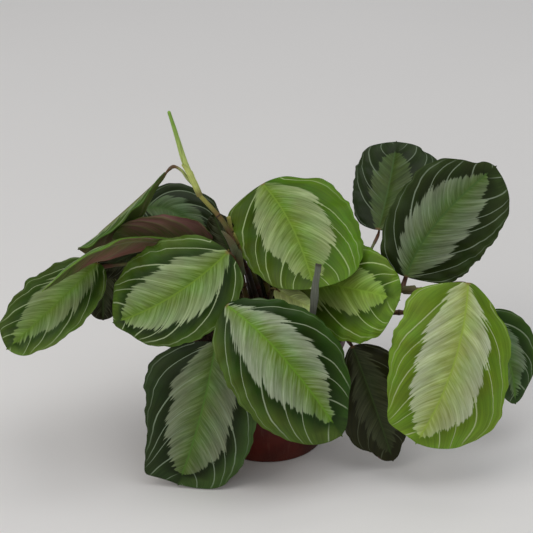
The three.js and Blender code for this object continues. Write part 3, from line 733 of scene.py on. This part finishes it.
def stemMaterial(name, bark, green):
    # Old stem skin: brown over green, dull, with darker rings at the joints and fine lengthwise lines
    material, add = newMaterial(name)
    run = splitMap(add, "runMap")
    knot = splitMap(add, "knotMap")
    fibres = addFibres(add, run, 2.6, 0.07, 1.4, 3.0)
    clouds = add("TexNoise", {"Vector": add("TexCoord").outputs["Object"], "Scale": 60.0, "Detail": 3.0})
    skin = lay(add, bark, green, clouds, 0.42, 0.62, 0.0, 0.8)
    lined = vary(add, skin, fibres, 0.3, 0.7, 0.72, 1.25)
    grown = lay(add, lined, stemColours["young"], run.outputs["Y"], 3.0, 26.0, 0.8, 0.0)
    flushed = lay(add, grown, stemColours["flush"], knot, 1.0, 7.0, 0.5, 0.0)
    colour = lay(add, flushed, stemColours["ring"], knot, 0.3, 0.9, 0.85, 0.0)
    addSurface(add, colour, 0.58, (fibres, 0.6, 0.4))
    return material


stemSkin = stemMaterial("ripeningStemSkin", stemColours["bark"], stemColours["green"])
# painted shade in part: the dry skin's near-black colours stand for dry tissue and for the shade deep in the
# plant
dryShadedSkin = stemMaterial("dryShadedStalkSkin", stemColours["dry"], stemColours["husk"])
stemPaths = {}
for name, stem in stems.items():
    x, y, z = stem["route"][0]
    path, length = routeThrough([(x, y, z - rootDepth), *stem["route"]], stemSteps)
    run = np.linspace(0, length, stemSteps)
    knots = [share * length for share in stem["joints"]]
    radii = stem["radius"] * (1.0 - stem["taper"] * run / length)
    for k in knots:  # a swelling at the joint and a waist above it
        radii = radii * (1 + 0.22 * np.exp(-((run - k) / 1.3) ** 2)
                         - 0.05 * np.exp(-((run - k - 3) / 1.2) ** 2))
    stemPaths[name] = path, length, stem["radius"]
    radii = radii[:, None] * (1 + 0.07 * roughness(run, 16, 0.08, 1.2, len(name)))
    stand(makeTube("stem_skin_" + name, path, radii, stemSkin, 16, knots), "stem", "stem_" + name)
print("stems made")


# sheath and rolled new leaf

sheath = {"foot": (-50.6, -5.9, 210.8), "head": (-59.5, -6, 234), "radius": 2.05, "mouth": 2.7,
          "wall": 0.35, "colour": "#d0da7c", "veins": "#a8b858", "footColour": "#6e5a2c"}
spear = {"tip": (-71, -6, 276), "radius": 2.15, "end": 1.25, "top": "#86b044", "low": "#c6d47c",
         "seam": "#5f8a2e"}


def sheathMaterial():
    # Leaf sheath: thin, pale and slightly waxy, browning where it joins the stem
    material, add = newMaterial("waxyLeafSheath")
    run = splitMap(add, "runMap")
    turn = splitMap(add, "roundMap")
    spot = add("TexNoise", {"Vector": add("TexCoord").outputs["Object"], "Scale": 140.0})
    ribs = add("Math", [turn, 9.0], operation="MULTIPLY")  # one rib every 1.3 mm or so
    line = add("Math", [ribs, 0.5], operation="PINGPONG")
    pale = lay(add, sheath["colour"], sheath["veins"], line, 0.0, 0.2, 0.5, 0.0)
    varied = vary(add, pale, spot, 0.3, 0.7, 0.86, 1.1)
    colour = lay(add, varied, sheath["footColour"], run, 2.0, 8.0, 0.8, 0.0)
    addSurface(add, colour, 0.5, (line, 0.35, 0.3))
    return material


def makeSheet(name, grid, material, wall, spacing, slot, *nodes):
    # a thin skin of the given wall thickness from a grid of points; spacing in mm along and around
    rows, columns = grid.shape[:2]
    total = rows * columns
    normal = unit(np.cross(np.gradient(grid, axis=0), np.gradient(grid, axis=1)) + 1e-9)
    points = np.concatenate([(grid + way * normal * wall / 2).reshape(-1, 3) for way in (1, -1)])
    faces, rim = sheetFaces(rows, columns, (0, 3, 2, 1))
    row, column = np.divmod(faces.ravel() % total, columns)
    maps = {"runMap": np.stack([row * spacing[0], (rows - 1 - row) * spacing[0]], 1),
            "roundMap": np.stack([column / (columns - 1), column * spacing[1]], 1)}
    piece = makePiece(name, points, faces.tolist(), [material], maps=maps, sharp=[rim, rim + total])
    stand(piece, slot, *nodes)


foot, head = np.array(sheath["foot"]), np.array(sheath["head"])
axis = unit(head - foot)
front = unit(np.array((-0.75, -0.66, 0)) - np.dot((-0.75, -0.66, 0), axis) * axis)
across = np.cross(axis, front)
rise = np.linalg.norm(head - foot)
rows, columns = 40, 49
v, a = np.meshgrid(np.linspace(0, 1, rows), np.linspace(-1, 1, columns), indexing="ij")
wrap = a * (math.pi * (1.12 - 0.5 * v ** 3))  # it closes below and opens towards its mouth
tall = rise * v * (1.16 - 0.34 * np.abs(a) ** 1.5) - 2
radius = sheath["radius"] + (sheath["mouth"] - sheath["radius"]) * v ** 2
radius = (radius + 0.22 * a + 0.25 * smooth(v, 0.85, 1))[..., None]
turned = np.cos(wrap)[..., None] * -front + np.sin(wrap)[..., None] * across
grid = foot + axis * tall[..., None] - radius * turned
makeSheet("sheath_skin", grid, sheathMaterial(), sheath["wall"], (rise / rows, 0.4), "sheath", "sheath")


def spearMaterial():
    # Rolled new leaf: smooth and satin, with the fine lines of its closed veins
    material, add = newMaterial("rolledLeafSkin")
    run = splitMap(add, "runMap")
    lines = addFibres(add, run, 3.0, 0.12, 1.3, 2.0)
    green = lay(add, spear["low"], spear["top"], run, 14.0, 50.0, 0.0, 1.0)
    lined = vary(add, green, lines, 0.35, 0.65, 0.82, 1.15)
    seam = splitMap(add, "seamMap")
    colour = lay(add, lined, spear["seam"], seam, 0.0, 0.5, 0.75, 0.0)
    addSurface(add, colour, 0.42, (lines, 0.3, 0.3))
    return material


tip = np.array(spear["tip"], float)
spearSteps, sides = 120, 48
path, length = routeThrough([foot + axis * rise * 0.35, head + axis * 1.5, (head + tip) / 2, tip], spearSteps)
run = np.linspace(0, length, spearSteps)
# how far round from the seam, which winds up the roll; the roll is thickest just before it
wound = (np.arange(sides) / sides - 0.55 - 0.9 * run[:, None] / length) % 1
body = spear["radius"] + (spear["end"] - spear["radius"]) * smooth(run, length * 0.3, length)
radii = body[:, None] * (0.9 + 0.17 * wound)
radii[-1] *= 0.45
radii[-2] *= 0.82
rolled = makeTube("rolled_leaf_skin", path, radii, spearMaterial(), sides, ends=(0, -0.8))
layer = rolled.data.uv_layers.new(name="seamMap")
vertex = np.empty(len(rolled.data.loops), dtype=np.int32)
rolled.data.loops.foreach_get("vertex_index", vertex)
row, column = np.divmod(np.minimum(vertex, spearSteps * sides - 1), sides)
seamGap = wound[row, column] * fullTurn * body[row]
layer.uv.foreach_set("vector", np.stack([seamGap, seamGap * 0], 1).astype(np.float32).ravel())
stand(rolled, "new_leaf", "rolled_leaf")
print("rolled leaf made")


# stalks

# Each stalk in mm: radius, the stem and share of it, or the soil, that it grows from, and its way.
stalks = {
    "front_right": dict(radius=1.5, stem=("right", 1), via=[(134, -28, 147)]),
    "top_right": dict(radius=1.4, stem=("right", 0.86), via=[]),
    "back_right": dict(radius=1.1, stem=("right", 0.6), via=[(77, 19, 148)]),
    "far_right": dict(radius=1.3, stem=("low", 1), via=[(146, 1.5, 108)]),
    "low_right": dict(radius=1.2, soil=(24, -12), via=[(24, -12, 92), (34, -19, 104), (50, -27, 108)]),
    "centre_right": dict(radius=1.3, soil=(2, -5), via=[(2, -5, 92), (2, 3, 118)]),
    "top_centre": dict(radius=1.4, soil=(2, 22), via=[(2, 22, 92), (0, 50, 150), (-3, 64, 180)]),
    "front_centre": dict(radius=1.4, soil=(-8, -14), via=[(-8, -14, 92), (-17, -38, 116), (-26, -58, 134)]),
    "front_left": dict(radius=1.4, soil=(-20, -16), via=[(-20, -16, 92), (-28, -38, 118)]),
    "centre_left": dict(radius=1.4, stem=("left", 0.56), via=[]),
    "far_left": dict(radius=1.3, stem=("left", 0.34), via=[(-58, 9, 146), (-100, 3, 148)]),
    "small_left": dict(radius=1.1, stem=("left", 0.24), via=[(-56, 22, 128), (-106, 32, 140)]),
    "back_left": dict(radius=1.2, stem=("left", 0.3), via=[(-46, 48, 142), (-84, 62, 150), (-100, 58, 162)]),
    "edge_upper": dict(radius=1.2, stem=("left", 0.4), via=[(-30, 10, 152)]),
    "edge_lower": dict(radius=1.2, stem=("left", 0.5), via=[]),
    "arched": dict(radius=1.1, sheath=0.25,
                   via=[(-58.6, -5.5, 222.5), (-62.6, -2.5, 227.2), (-68, 1.8, 228.6)]),
}
stalkColours = {"skin": "#5a4a30", "fresh": "#9aa560", "joint": "#5c3524", "green": "#6f7840"}


def stalkMaterial(name, skin, green, joint):
    # Leaf stalk: satin skin over green, brown with age, reddish at the short joint under the blade
    material, add = newMaterial(name)
    run = splitMap(add, "runMap")
    fibres = addFibres(add, run, 1.8, 0.1, 1.4, 3.0)
    clouds = add("TexNoise", {"Vector": add("TexCoord").outputs["Object"], "Scale": 45.0, "Detail": 2.0})
    flesh = lay(add, skin, green, clouds, 0.4, 0.62, 0.0, 1.0)
    lined = vary(add, flesh, fibres, 0.3, 0.7, 0.78, 1.2)
    colour = lay(add, lined, stalkColours["joint"], run.outputs["Y"], joint, joint + 5, 0.9, 0.0)
    addSurface(add, colour, 0.48, (fibres, 0.4, 0.3))
    return material


stalkSkin = stalkMaterial("satinStalkSkin", stalkColours["skin"], stalkColours["green"], 20)
freshStalkSkin = stalkMaterial("freshStalkSkin", stalkColours["fresh"], stalkColours["fresh"], 24)
stalkSteps = 110
for name, stalk in stalks.items():
    base, mid, tip = np.array(blades[name]["line"], float)
    along = unit(2 * mid - (base + tip) / 2 - base)
    faces = blades[name]["faces"]
    up = unit(np.array(faces) - np.dot(faces, along) * along)
    # the last points bend into the midrib and sink into the blade's underside
    last = [base + along * 0.5 - up * 5, base + along * 5 - up * 2.2, base + along * 11 - up * 1.7]
    if "soil" in stalk:
        x, y = stalk["soil"]
        start = [(x, y, soilTop - rootDepth), (x, y, soilTop)]
    elif "sheath" in stalk:
        start = [foot + axis * rise * stalk["sheath"]]
        last = [base - along * 3, base + along * 3 - up * 1.0, base + along * 9 - up * 1.4]
    else:
        stem, share = stalk["stem"]
        path = stemPaths[stem][0]
        k = int(share * (stemSteps - 1))
        start = [path[k] - unit(path[k] - path[k - 1]) * (4 if share == 1 else 2)]
    path, length = routeThrough([*start, *stalk["via"], *last], stalkSteps)
    run = np.linspace(0, length, stalkSteps)
    toEnd = length - run
    radii = stalk["radius"] * np.ones(stalkSteps)
    if "soil" not in stalk:
        radii *= 1 + 0.45 * np.exp(-(run / 5) ** 2)  # clasping foot
    radii *= 1 + 0.22 * smooth(toEnd, 11, 14) * (1 - smooth(toEnd, 21, 24))  # joint under the blade
    radii *= 0.25 + 0.75 * smooth(toEnd, 3, 13)
    skin = freshStalkSkin if name == "arched" else stalkSkin
    stand(makeTube("stalk_skin_" + name, path, radii, skin, 12), "petiole", "stalk_" + name)
print("stalks made")


# Old stalks without leaves, dry, and the stalks of the small leaves: radius and route. Their near-black skin
# is partly dry tissue and partly painted shade for the dark heart of the plant.
oldSteps = 90
oldStalks = {
    "left": (2.3, [(-3, 3, 76), (-3, 3, 92), (-8, 3, 116), (-17, 0, 148), (-25, -3, 168), (-29, -3, 190)]),
    "middle": (3.0, [(-2, 9, 76), (-2, 9, 92), (-5, 10, 112), (-12, 8, 140), (-15, 8, 152)]),
    "back": (2.6, [(-15, 8, 76), (-15, 8, 92), (-13, 9, 120), (-19, 3, 152), (-26, -3, 176)]),
    "right": (3.0, [(5, 10, 76), (5, 10, 92), (2, 12, 110), (-3, 13, 134)]),
    "end": (2.4, [(10, 11, 76), (10, 11, 92), (9, 14, 108), (8, 16, 124)]),
    "withered": (1.0, [(-11, 8, 132), (-11.5, 10, 137), (-9.5, 12, 137), (-6, 12, 133)]),
    "pale": (0.9, [(0, 3, 117), (1.5, -6, 130), (4.5, -12.5, 135.5), (9, -17.5, 135)]),
    "screen": (1.0, [(-18, 4, 143), (-24, 9, 145), (-27.5, 14.5, 148.5), (-30, 16, 153)]),
    "shaded": (1.0, [(-86, 4, 148), (-92, 8, 152), (-96, 9, 151.5), (-100, 8, 149)]),
}
for name, (thickness, route) in oldStalks.items():
    path, length = routeThrough(route, oldSteps)
    run = np.linspace(0, length, oldSteps)
    knots = [length * share for share in (0.35, 0.62, 0.9)]
    radii = thickness * (1 - 0.3 * run / length)
    for k in knots:
        radii = radii * (1 + 0.16 * np.exp(-((run - k) / 1.3) ** 2))
    radii = radii[:, None] * (1 + 0.16 * roughness(run, 14, 0.1, 1.4, len(name)))
    stand(makeTube("old_stalk_" + name, path, radii, dryShadedSkin, 14, knots), "stem")


# bracts at the joints of the stems

# Each bract: the stem and share it wraps, the way it opens, its length and its spread in degrees.
bracts = {
    "left_fork": dict(stem="left", share=0.61, out=(-0.75, -0.65, 0.1), length=27, spread=120, flare=2.2),
    "left_mid": dict(stem="left", share=0.5, out=(0.6, -0.7, 0.3), length=24, spread=115, flare=1.6),
    "left_low": dict(stem="left", share=0.24, out=(-0.8, 0.4, 0.2), length=19, spread=120, flare=1.8),
    "right_low": dict(stem="right", share=0.36, out=(0.2, -0.6, 0.6), length=18, spread=110, flare=1.8),
    "right_fork": dict(stem="right", share=0.6, out=(0.1, -0.8, -0.4), length=20, spread=120, flare=1.2),
    "right_end": dict(stem="right", share=0.86, out=(0.2, -0.7, 0.6), length=14, spread=115, flare=1.6),
    "low_mid": dict(stem="low", share=0.5, out=(0, -0.6, 0.7), length=17, spread=115, flare=1.5),
}
bractColours = {"dry": "#6a5a3c", "green": "#5f6a48", "vein": "#8c8a62"}


def bractMaterial():
    # Bract: a dry, papery scale with fine veins along it and a green grey bloom
    material, add = newMaterial("paperyBract")
    turn = splitMap(add, "roundMap")
    place = add("TexCoord").outputs["Object"]
    clouds = add("TexNoise", {"Vector": place, "Scale": 80.0, "Detail": 3.0})
    flesh = lay(add, bractColours["dry"], bractColours["green"], clouds, 0.4, 0.6, 0.0, 1.0)
    ribs = add("Math", [turn, 11.0], operation="MULTIPLY")
    line = add("Math", [ribs, 0.5], operation="PINGPONG")
    colour = lay(add, flesh, bractColours["vein"], line, 0.0, 0.18, 0.6, 0.0)
    addSurface(add, colour, 0.66, (line, 0.5, 0.3))
    return material


paperyBract = bractMaterial()
steps, columns = 22, 25
a = np.linspace(-1, 1, columns)
lastStep = stemSteps - 1
for name, bract in bracts.items():
    path, length, radius = stemPaths[bract["stem"]]
    along, _, _ = framesAlong(path, sideways)
    first = int(bract["share"] * lastStep)
    reach = min(bract["length"] / length * lastStep, lastStep - 1 - first)
    grid = np.zeros((steps, columns, 3))
    for i, v in enumerate(np.linspace(0, 1, steps)):
        k = first + reach * v
        here = min(int(k), lastStep)
        forward = along[here]
        centre = path[here] + (path[min(here + 1, lastStep)] - path[here]) * (k % 1)
        centre = centre + forward * (bract["length"] * v - reach * v * length / lastStep)
        out = unit(np.array(bract["out"]) - np.dot(bract["out"], forward) * forward)
        across = np.cross(forward, out)
        angle = a * math.radians(bract["spread"]) * (1 - v ** 2.4) ** 0.8 * (1 - 0.35 * v)
        gap = radius + 0.45 + bract["flare"] * v ** 2
        grid[i] = centre + gap * (np.cos(angle)[:, None] * out + np.sin(angle)[:, None] * across)
    makeSheet("bract_" + name, grid[:, ::-1], paperyBract, 0.3, (bract["length"] / steps, 0.4), "stem")
print("bracts made")


# stake

stake = {"foot": (27, -39, 66), "head": (38.5, -46, 176), "width": 4.8, "thick": 1.2,
         "grey": "#6c7164", "dark": "#51564a", "fibre": "#84877a", "cut": "#3a3427"}


def stakeMaterial():
    # Weathered split wood: grey, dry and fibrous, darker at the cut end
    material, add = newMaterial("weatheredSplitWood")
    place = add("TexCoord").outputs["Object"]
    grain = add("Mapping", {"Vector": place, "Scale": (1400.0, 1400.0, 60.0)})  # fibres 0.7 mm apart
    fibres = add("TexNoise", {"Vector": grain, "Scale": 1.0, "Detail": 4.0, "Roughness": 0.6})
    patch = add("TexNoise", {"Vector": place, "Scale": 70.0, "Detail": 3.0})
    base = add("Mix", {0: patch, 6: stake["grey"], 7: stake["dark"]})
    lined = lay(add, base, stake["fibre"], fibres, 0.45, 0.7, 0.0, 0.7)
    run = splitMap(add, "runMap")
    colour = lay(add, lined, stake["cut"], run.outputs["Y"], 0.6, 3.0, 0.85, 0.0)
    addSurface(add, colour, 0.78, (fibres, 0.7, 0.4), ior=1.5)
    return material


low, high = np.array(stake["foot"], float), np.array(stake["head"], float) - (1.9, 0, 2.6)
path = low + (high - low) * np.linspace(0, 1, 130)[:, None]
tall = path[:, 2]
# it bends a little at a crack near the top, and bulges and turns below it
path[:, 0] += -0.5 * smooth(tall, 140, 158) + 0.5 * smooth(tall, 158, 166)
sides = 28
turn = np.arange(sides) / sides * fullTurn
bulge = 0.28 * np.exp(-((tall - 146) / 8) ** 2)
wide = stake["width"] / 2 * (1.02 + bulge - 0.06 * smooth(tall, 160, 164))
thick = stake["thick"] / 2 * (1 + 0.15 * np.sin(tall * 0.13))
squareness = 5  # 2 would make the section an ellipse
radii = ((np.abs(np.cos(turn)) / wide[:, None]) ** squareness
         + (np.abs(np.sin(turn)) / thick[:, None]) ** squareness) ** (-1 / squareness)
crack = 0.5 * np.exp(-((tall - 165.5) / 0.7) ** 2)[:, None]
radii[:, :4] -= crack
radii[:, -4:] -= crack
shaft = makeTube("stake_wood", path, radii, stakeMaterial(), sides, (), (0.1, 0.05), (0.96, -0.28, 0))
stand(shaft, "stake", "stake")
print("stake made")


# soil

soil = {"floor": 2.35, "footRadius": 41.6, "topRadius": 56.0, "lump": 1.7, "crumbs": 620, "strewn": 54,
        "peat": "#2b1f17", "dry": "#463527", "bark": "#5b4330"}


def soilMaterial():
    # Moist peat mix: near black brown crumbs with dull fibres
    material, add = newMaterial("moistPeatMix")
    place = add("TexCoord").outputs["Object"]
    grit = add("TexNoise", {"Vector": place, "Scale": 900.0, "Detail": 5.0, "Roughness": 0.7})  # 1 mm
    clods = add("TexVoronoi", {"Vector": place, "Scale": 260.0})
    base = lay(add, soil["peat"], soil["dry"], grit, 0.4, 0.7, 0.0, 1.0)
    bits = add("TexNoise", {"Vector": place, "Scale": 300.0})
    colour = lay(add, base, soil["bark"], bits, 0.6, 0.66, 0.0, 0.8)
    height = add("Math", [grit, clods], operation="SUBTRACT")
    addSurface(add, colour, 0.92, (height, 0.9, 1.2), specular=0.25)
    return material


def soilHeight(x, y):
    # clods about 8 mm across, with finer ones on them, slightly mounded at the stems
    place = Vector((x / 8, y / 8, 0.3))
    clods = noise.noise(place) + 0.5 * noise.noise(place * 2.7)
    return soilTop - 0.6 + soil["lump"] * clods + 0.8 * math.exp(-(x * x + y * y) / 700)


peat = soilMaterial()
topRadius, footRadius, low = soil["topRadius"], soil["footRadius"], soil["floor"]
spokes, topRings, sideRings, footRings = 120, 38, 8, 5
# radius and height of each ring; the uneven top has no set height
profile = [(topRadius * r / topRings, None) for r in range(1, topRings + 1)]
profile += [(topRadius + (footRadius - topRadius) * k / sideRings,
             soilTop - 3 + (low + 3 - soilTop) * k / sideRings) for k in range(sideRings + 1)]
profile += [(footRadius * (1 - k / footRings), low) for k in range(1, footRings)]
points, faces = [], []
for r, z in profile:
    for k in range(spokes):
        turn = k / spokes * fullTurn
        x, y = r * math.cos(turn), r * math.sin(turn)
        points.append((x, y, soilHeight(x, y) if z is None else z))
topPole, footPole = len(points), len(points) + 1
points += [(0, 0, soilHeight(0, 0)), (0, 0, low)]
last = (len(profile) - 1) * spokes
for start in range(0, last, spokes):
    for k in range(spokes):
        a, b = start + k, start + (k + 1) % spokes
        faces.append((a, a + spokes, b + spokes, b))
for k in range(spokes):
    after = (k + 1) % spokes
    faces += [(topPole, k, after), (footPole, last + after, last + k)]
stand(makePiece("soil_bed", points, faces, [peat]), "soil", "soil")

# crumbs: eight-sided lumps, most of them fine, strewn over the top
rng = random.Random(11)
corners = [Vector(c) for c in ((1, 0, 0), (-1, 0, 0), (0, 1, 0), (0, -1, 0), (0, 0, 1), (0, 0, -1))]
shell = [(0, 2, 4), (2, 1, 4), (1, 3, 4), (3, 0, 4), (2, 0, 5), (1, 2, 5), (3, 1, 5), (0, 3, 5)]
points, faces = [], []
for _ in range(soil["crumbs"]):
    r, turn = soil["strewn"] * math.sqrt(rng.random()), rng.uniform(0, fullTurn)
    x, y = r * math.cos(turn), r * math.sin(turn)
    size = rng.uniform(0.6, 1.3) if rng.random() < 0.85 else rng.uniform(1.6, 2.6)
    if r + size > topRadius - 1:
        continue
    spin = Matrix.Rotation(rng.uniform(0, 6.3), 3, "Z") @ Matrix.Rotation(rng.uniform(-0.4, 0.4), 3, "X")
    shape = [Vector((c.x * rng.uniform(0.9, 1.9), c.y * rng.uniform(0.7, 1.2), c.z * rng.uniform(0.5, 0.9)))
             for c in corners]
    centre = Vector((x, y, soilHeight(x, y) + size * 0.15))
    faces += [tuple(len(points) + v for v in face) for face in shell]
    points += [tuple(centre + spin @ (c * size)) for c in shape]
crumbs = makePiece("soil_crumbs", points, faces, [peat])
crumbs.data.polygons.foreach_set("use_smooth", [False] * len(crumbs.data.polygons))
stand(crumbs, "soil")
print("soil made")


# pot

pot = {"height": 96, "topRadius": 60, "baseRadius": 44, "wall": 1.6, "floor": 2, "rim": 10, "step": 1.8,
       "holes": 6, "holeRadius": 4.5, "holeCircle": 30, "notchCircle": 42.5, "notch": (9, 7, 1.4),
       "sides": 160, "plastic": "#58180b", "dull": "#420e05", "dust": "#66483a"}


def potMaterial():
    # Injection moulded polypropylene: matt, faintly orange peeled, with dull handling marks and dust
    material, add = newMaterial("mattMouldedPolypropylene")
    place = add("TexCoord").outputs["Object"]
    cloud = add("TexNoise", {"Vector": place, "Scale": 38.0, "Detail": 4.0})
    drawn = add("Mapping", {"Vector": place, "Scale": (420.0, 420.0, 18.0)})
    scuffs = add("TexNoise", {"Vector": drawn, "Scale": 1.0, "Detail": 3.0})
    peel = add("TexNoise", {"Vector": place, "Scale": 1100.0, "Detail": 1.0})  # about 1 mm
    body = lay(add, pot["plastic"], pot["dull"], cloud, 0.35, 0.65, 0.0, 1.0)
    height = add("SeparateXYZ", [place])
    settled = add("MapRange", [height.outputs["Z"], 0.0, 0.012, 0.35, 0.0])
    grains = add("MapRange", [peel, 0.45, 0.6, 0.2, 1.0])
    dust = add("Math", [settled, grains], operation="MULTIPLY")
    dusted = add("Mix", {0: dust, 6: body, 7: pot["dust"]})
    colour = lay(add, dusted, pot["dust"], scuffs, 0.58, 0.72, 0.0, 0.22)
    gloss = add("MapRange", [cloud, 0.3, 0.7, 0.4, 0.56])
    addSurface(add, colour, gloss, (peel, 0.15, 0.3), ior=1.49, specular=0.25)
    return material


def roundedProfile(corners, steps=5):
    # corners are (radius, height, rounding) in mm; each is drawn as a small curve
    out = []
    count = len(corners)
    for k, (r, z, soft) in enumerate(corners):
        here = Vector((r, z))
        before, after = (Vector(corners[(k + d) % count][:2]) for d in (-1, 1))
        a = here + (before - here).normalized() * min(soft, (before - here).length / 2.1)
        b = here + (after - here).normalized() * min(soft, (after - here).length / 2.1)
        if soft == 0:
            out.append(tuple(here))
            continue
        for n in range(steps):
            f = n / (steps - 1)
            out.append(tuple(a * (1 - f) ** 2 + here * 2 * f * (1 - f) + b * f * f))
    return out


def lathe(name, profile, sides, material):
    # turns a profile of (radius, height) about the upright axis; radius 0 makes a pole
    points, rings, faces = [], [], []
    for r, z in profile:
        if r < 1e-6:
            rings.append([len(points)] * sides)
            points.append((0, 0, z))
        else:
            rings.append(list(range(len(points), len(points) + sides)))
            turns = [k / sides * fullTurn for k in range(sides)]
            points += [(r * math.cos(turn), r * math.sin(turn), z) for turn in turns]
    for a, b in zip(rings, rings[1:]):
        for k in range(sides):
            n = (k + 1) % sides
            faces.append(list(dict.fromkeys((a[k], a[n], b[n], b[k]))))
    return makePiece(name, points, faces, [material])


top, rimRadius, baseRadius, inside = pot["height"], pot["topRadius"], pot["baseRadius"], pot["floor"]
under = top - pot["rim"]
bodyTop = rimRadius - pot["step"]
wallTop, wallFoot = bodyTop - pot["wall"], baseRadius - pot["wall"]
footRise = 0.9  # the floor stands on a ring of this height
profile = roundedProfile([
    (0, footRise, 0), (baseRadius - 5, footRise, 0.6), (baseRadius - 4, 0, 0.5),
    (baseRadius - 0.2, 0, 2.2), (baseRadius + 0.3, 3, 1.5),
    (baseRadius + (bodyTop - baseRadius) * 0.97, under * 0.97, 1.5), (bodyTop, under, 0.5),
    (rimRadius - 0.5, under + 0.2, 0.9), (rimRadius - 0.15, under + 1.4, 0.5),
    (rimRadius - 0.35, top - 2.4, 0.8), (rimRadius, top - 1.9, 0.4),
    (rimRadius, top, 0.9), (wallTop + 0.2, top, 0.9),
    (wallTop, under + 2, 1.0), (wallTop - 0.5, under - 2, 1.0), (wallFoot + 0.5, inside + 1.5, 1.5),
    (wallFoot - 2, inside, 1.2), (0, inside, 0),
])
potPlastic = potMaterial()
bowl = lathe("pot_shell", profile, pot["sides"], potPlastic)
drills = []
for k in range(pot["holes"]):
    turn = k / pot["holes"] * fullTurn
    spot = (pot["holeCircle"] * math.cos(turn) * mm, pot["holeCircle"] * math.sin(turn) * mm, 0)
    bpy.ops.mesh.primitive_cylinder_add(vertices=48, radius=pot["holeRadius"] * mm, depth=10 * mm,
                                        location=spot)
    drills.append(bpy.context.object)
    turn += math.pi / pot["holes"]  # water runs out through notches in the foot ring
    spot = (pot["notchCircle"] * math.cos(turn) * mm, pot["notchCircle"] * math.sin(turn) * mm, 0)
    bpy.ops.mesh.primitive_cube_add(size=1, location=spot, rotation=(0, 0, turn))
    bpy.context.object.scale = [side * mm for side in pot["notch"]]
    drills.append(bpy.context.object)
for drill in drills:
    cut = bowl.modifiers.new("cut", "BOOLEAN")
    cut.object = drill
    cut.operation = "DIFFERENCE"
    cut.solver = "EXACT"
bpy.context.view_layer.update()
carved = bpy.data.meshes.new_from_object(bowl.evaluated_get(bpy.context.evaluated_depsgraph_get()))
bowl.modifiers.clear()
bowl.data = carved
for drill in drills:
    bpy.data.objects.remove(drill)
carved.materials.clear()
carved.materials.append(potPlastic)
carved.set_sharp_from_angle(angle=math.radians(35))
stand(bowl, "pot", "pot")
print("pot made")
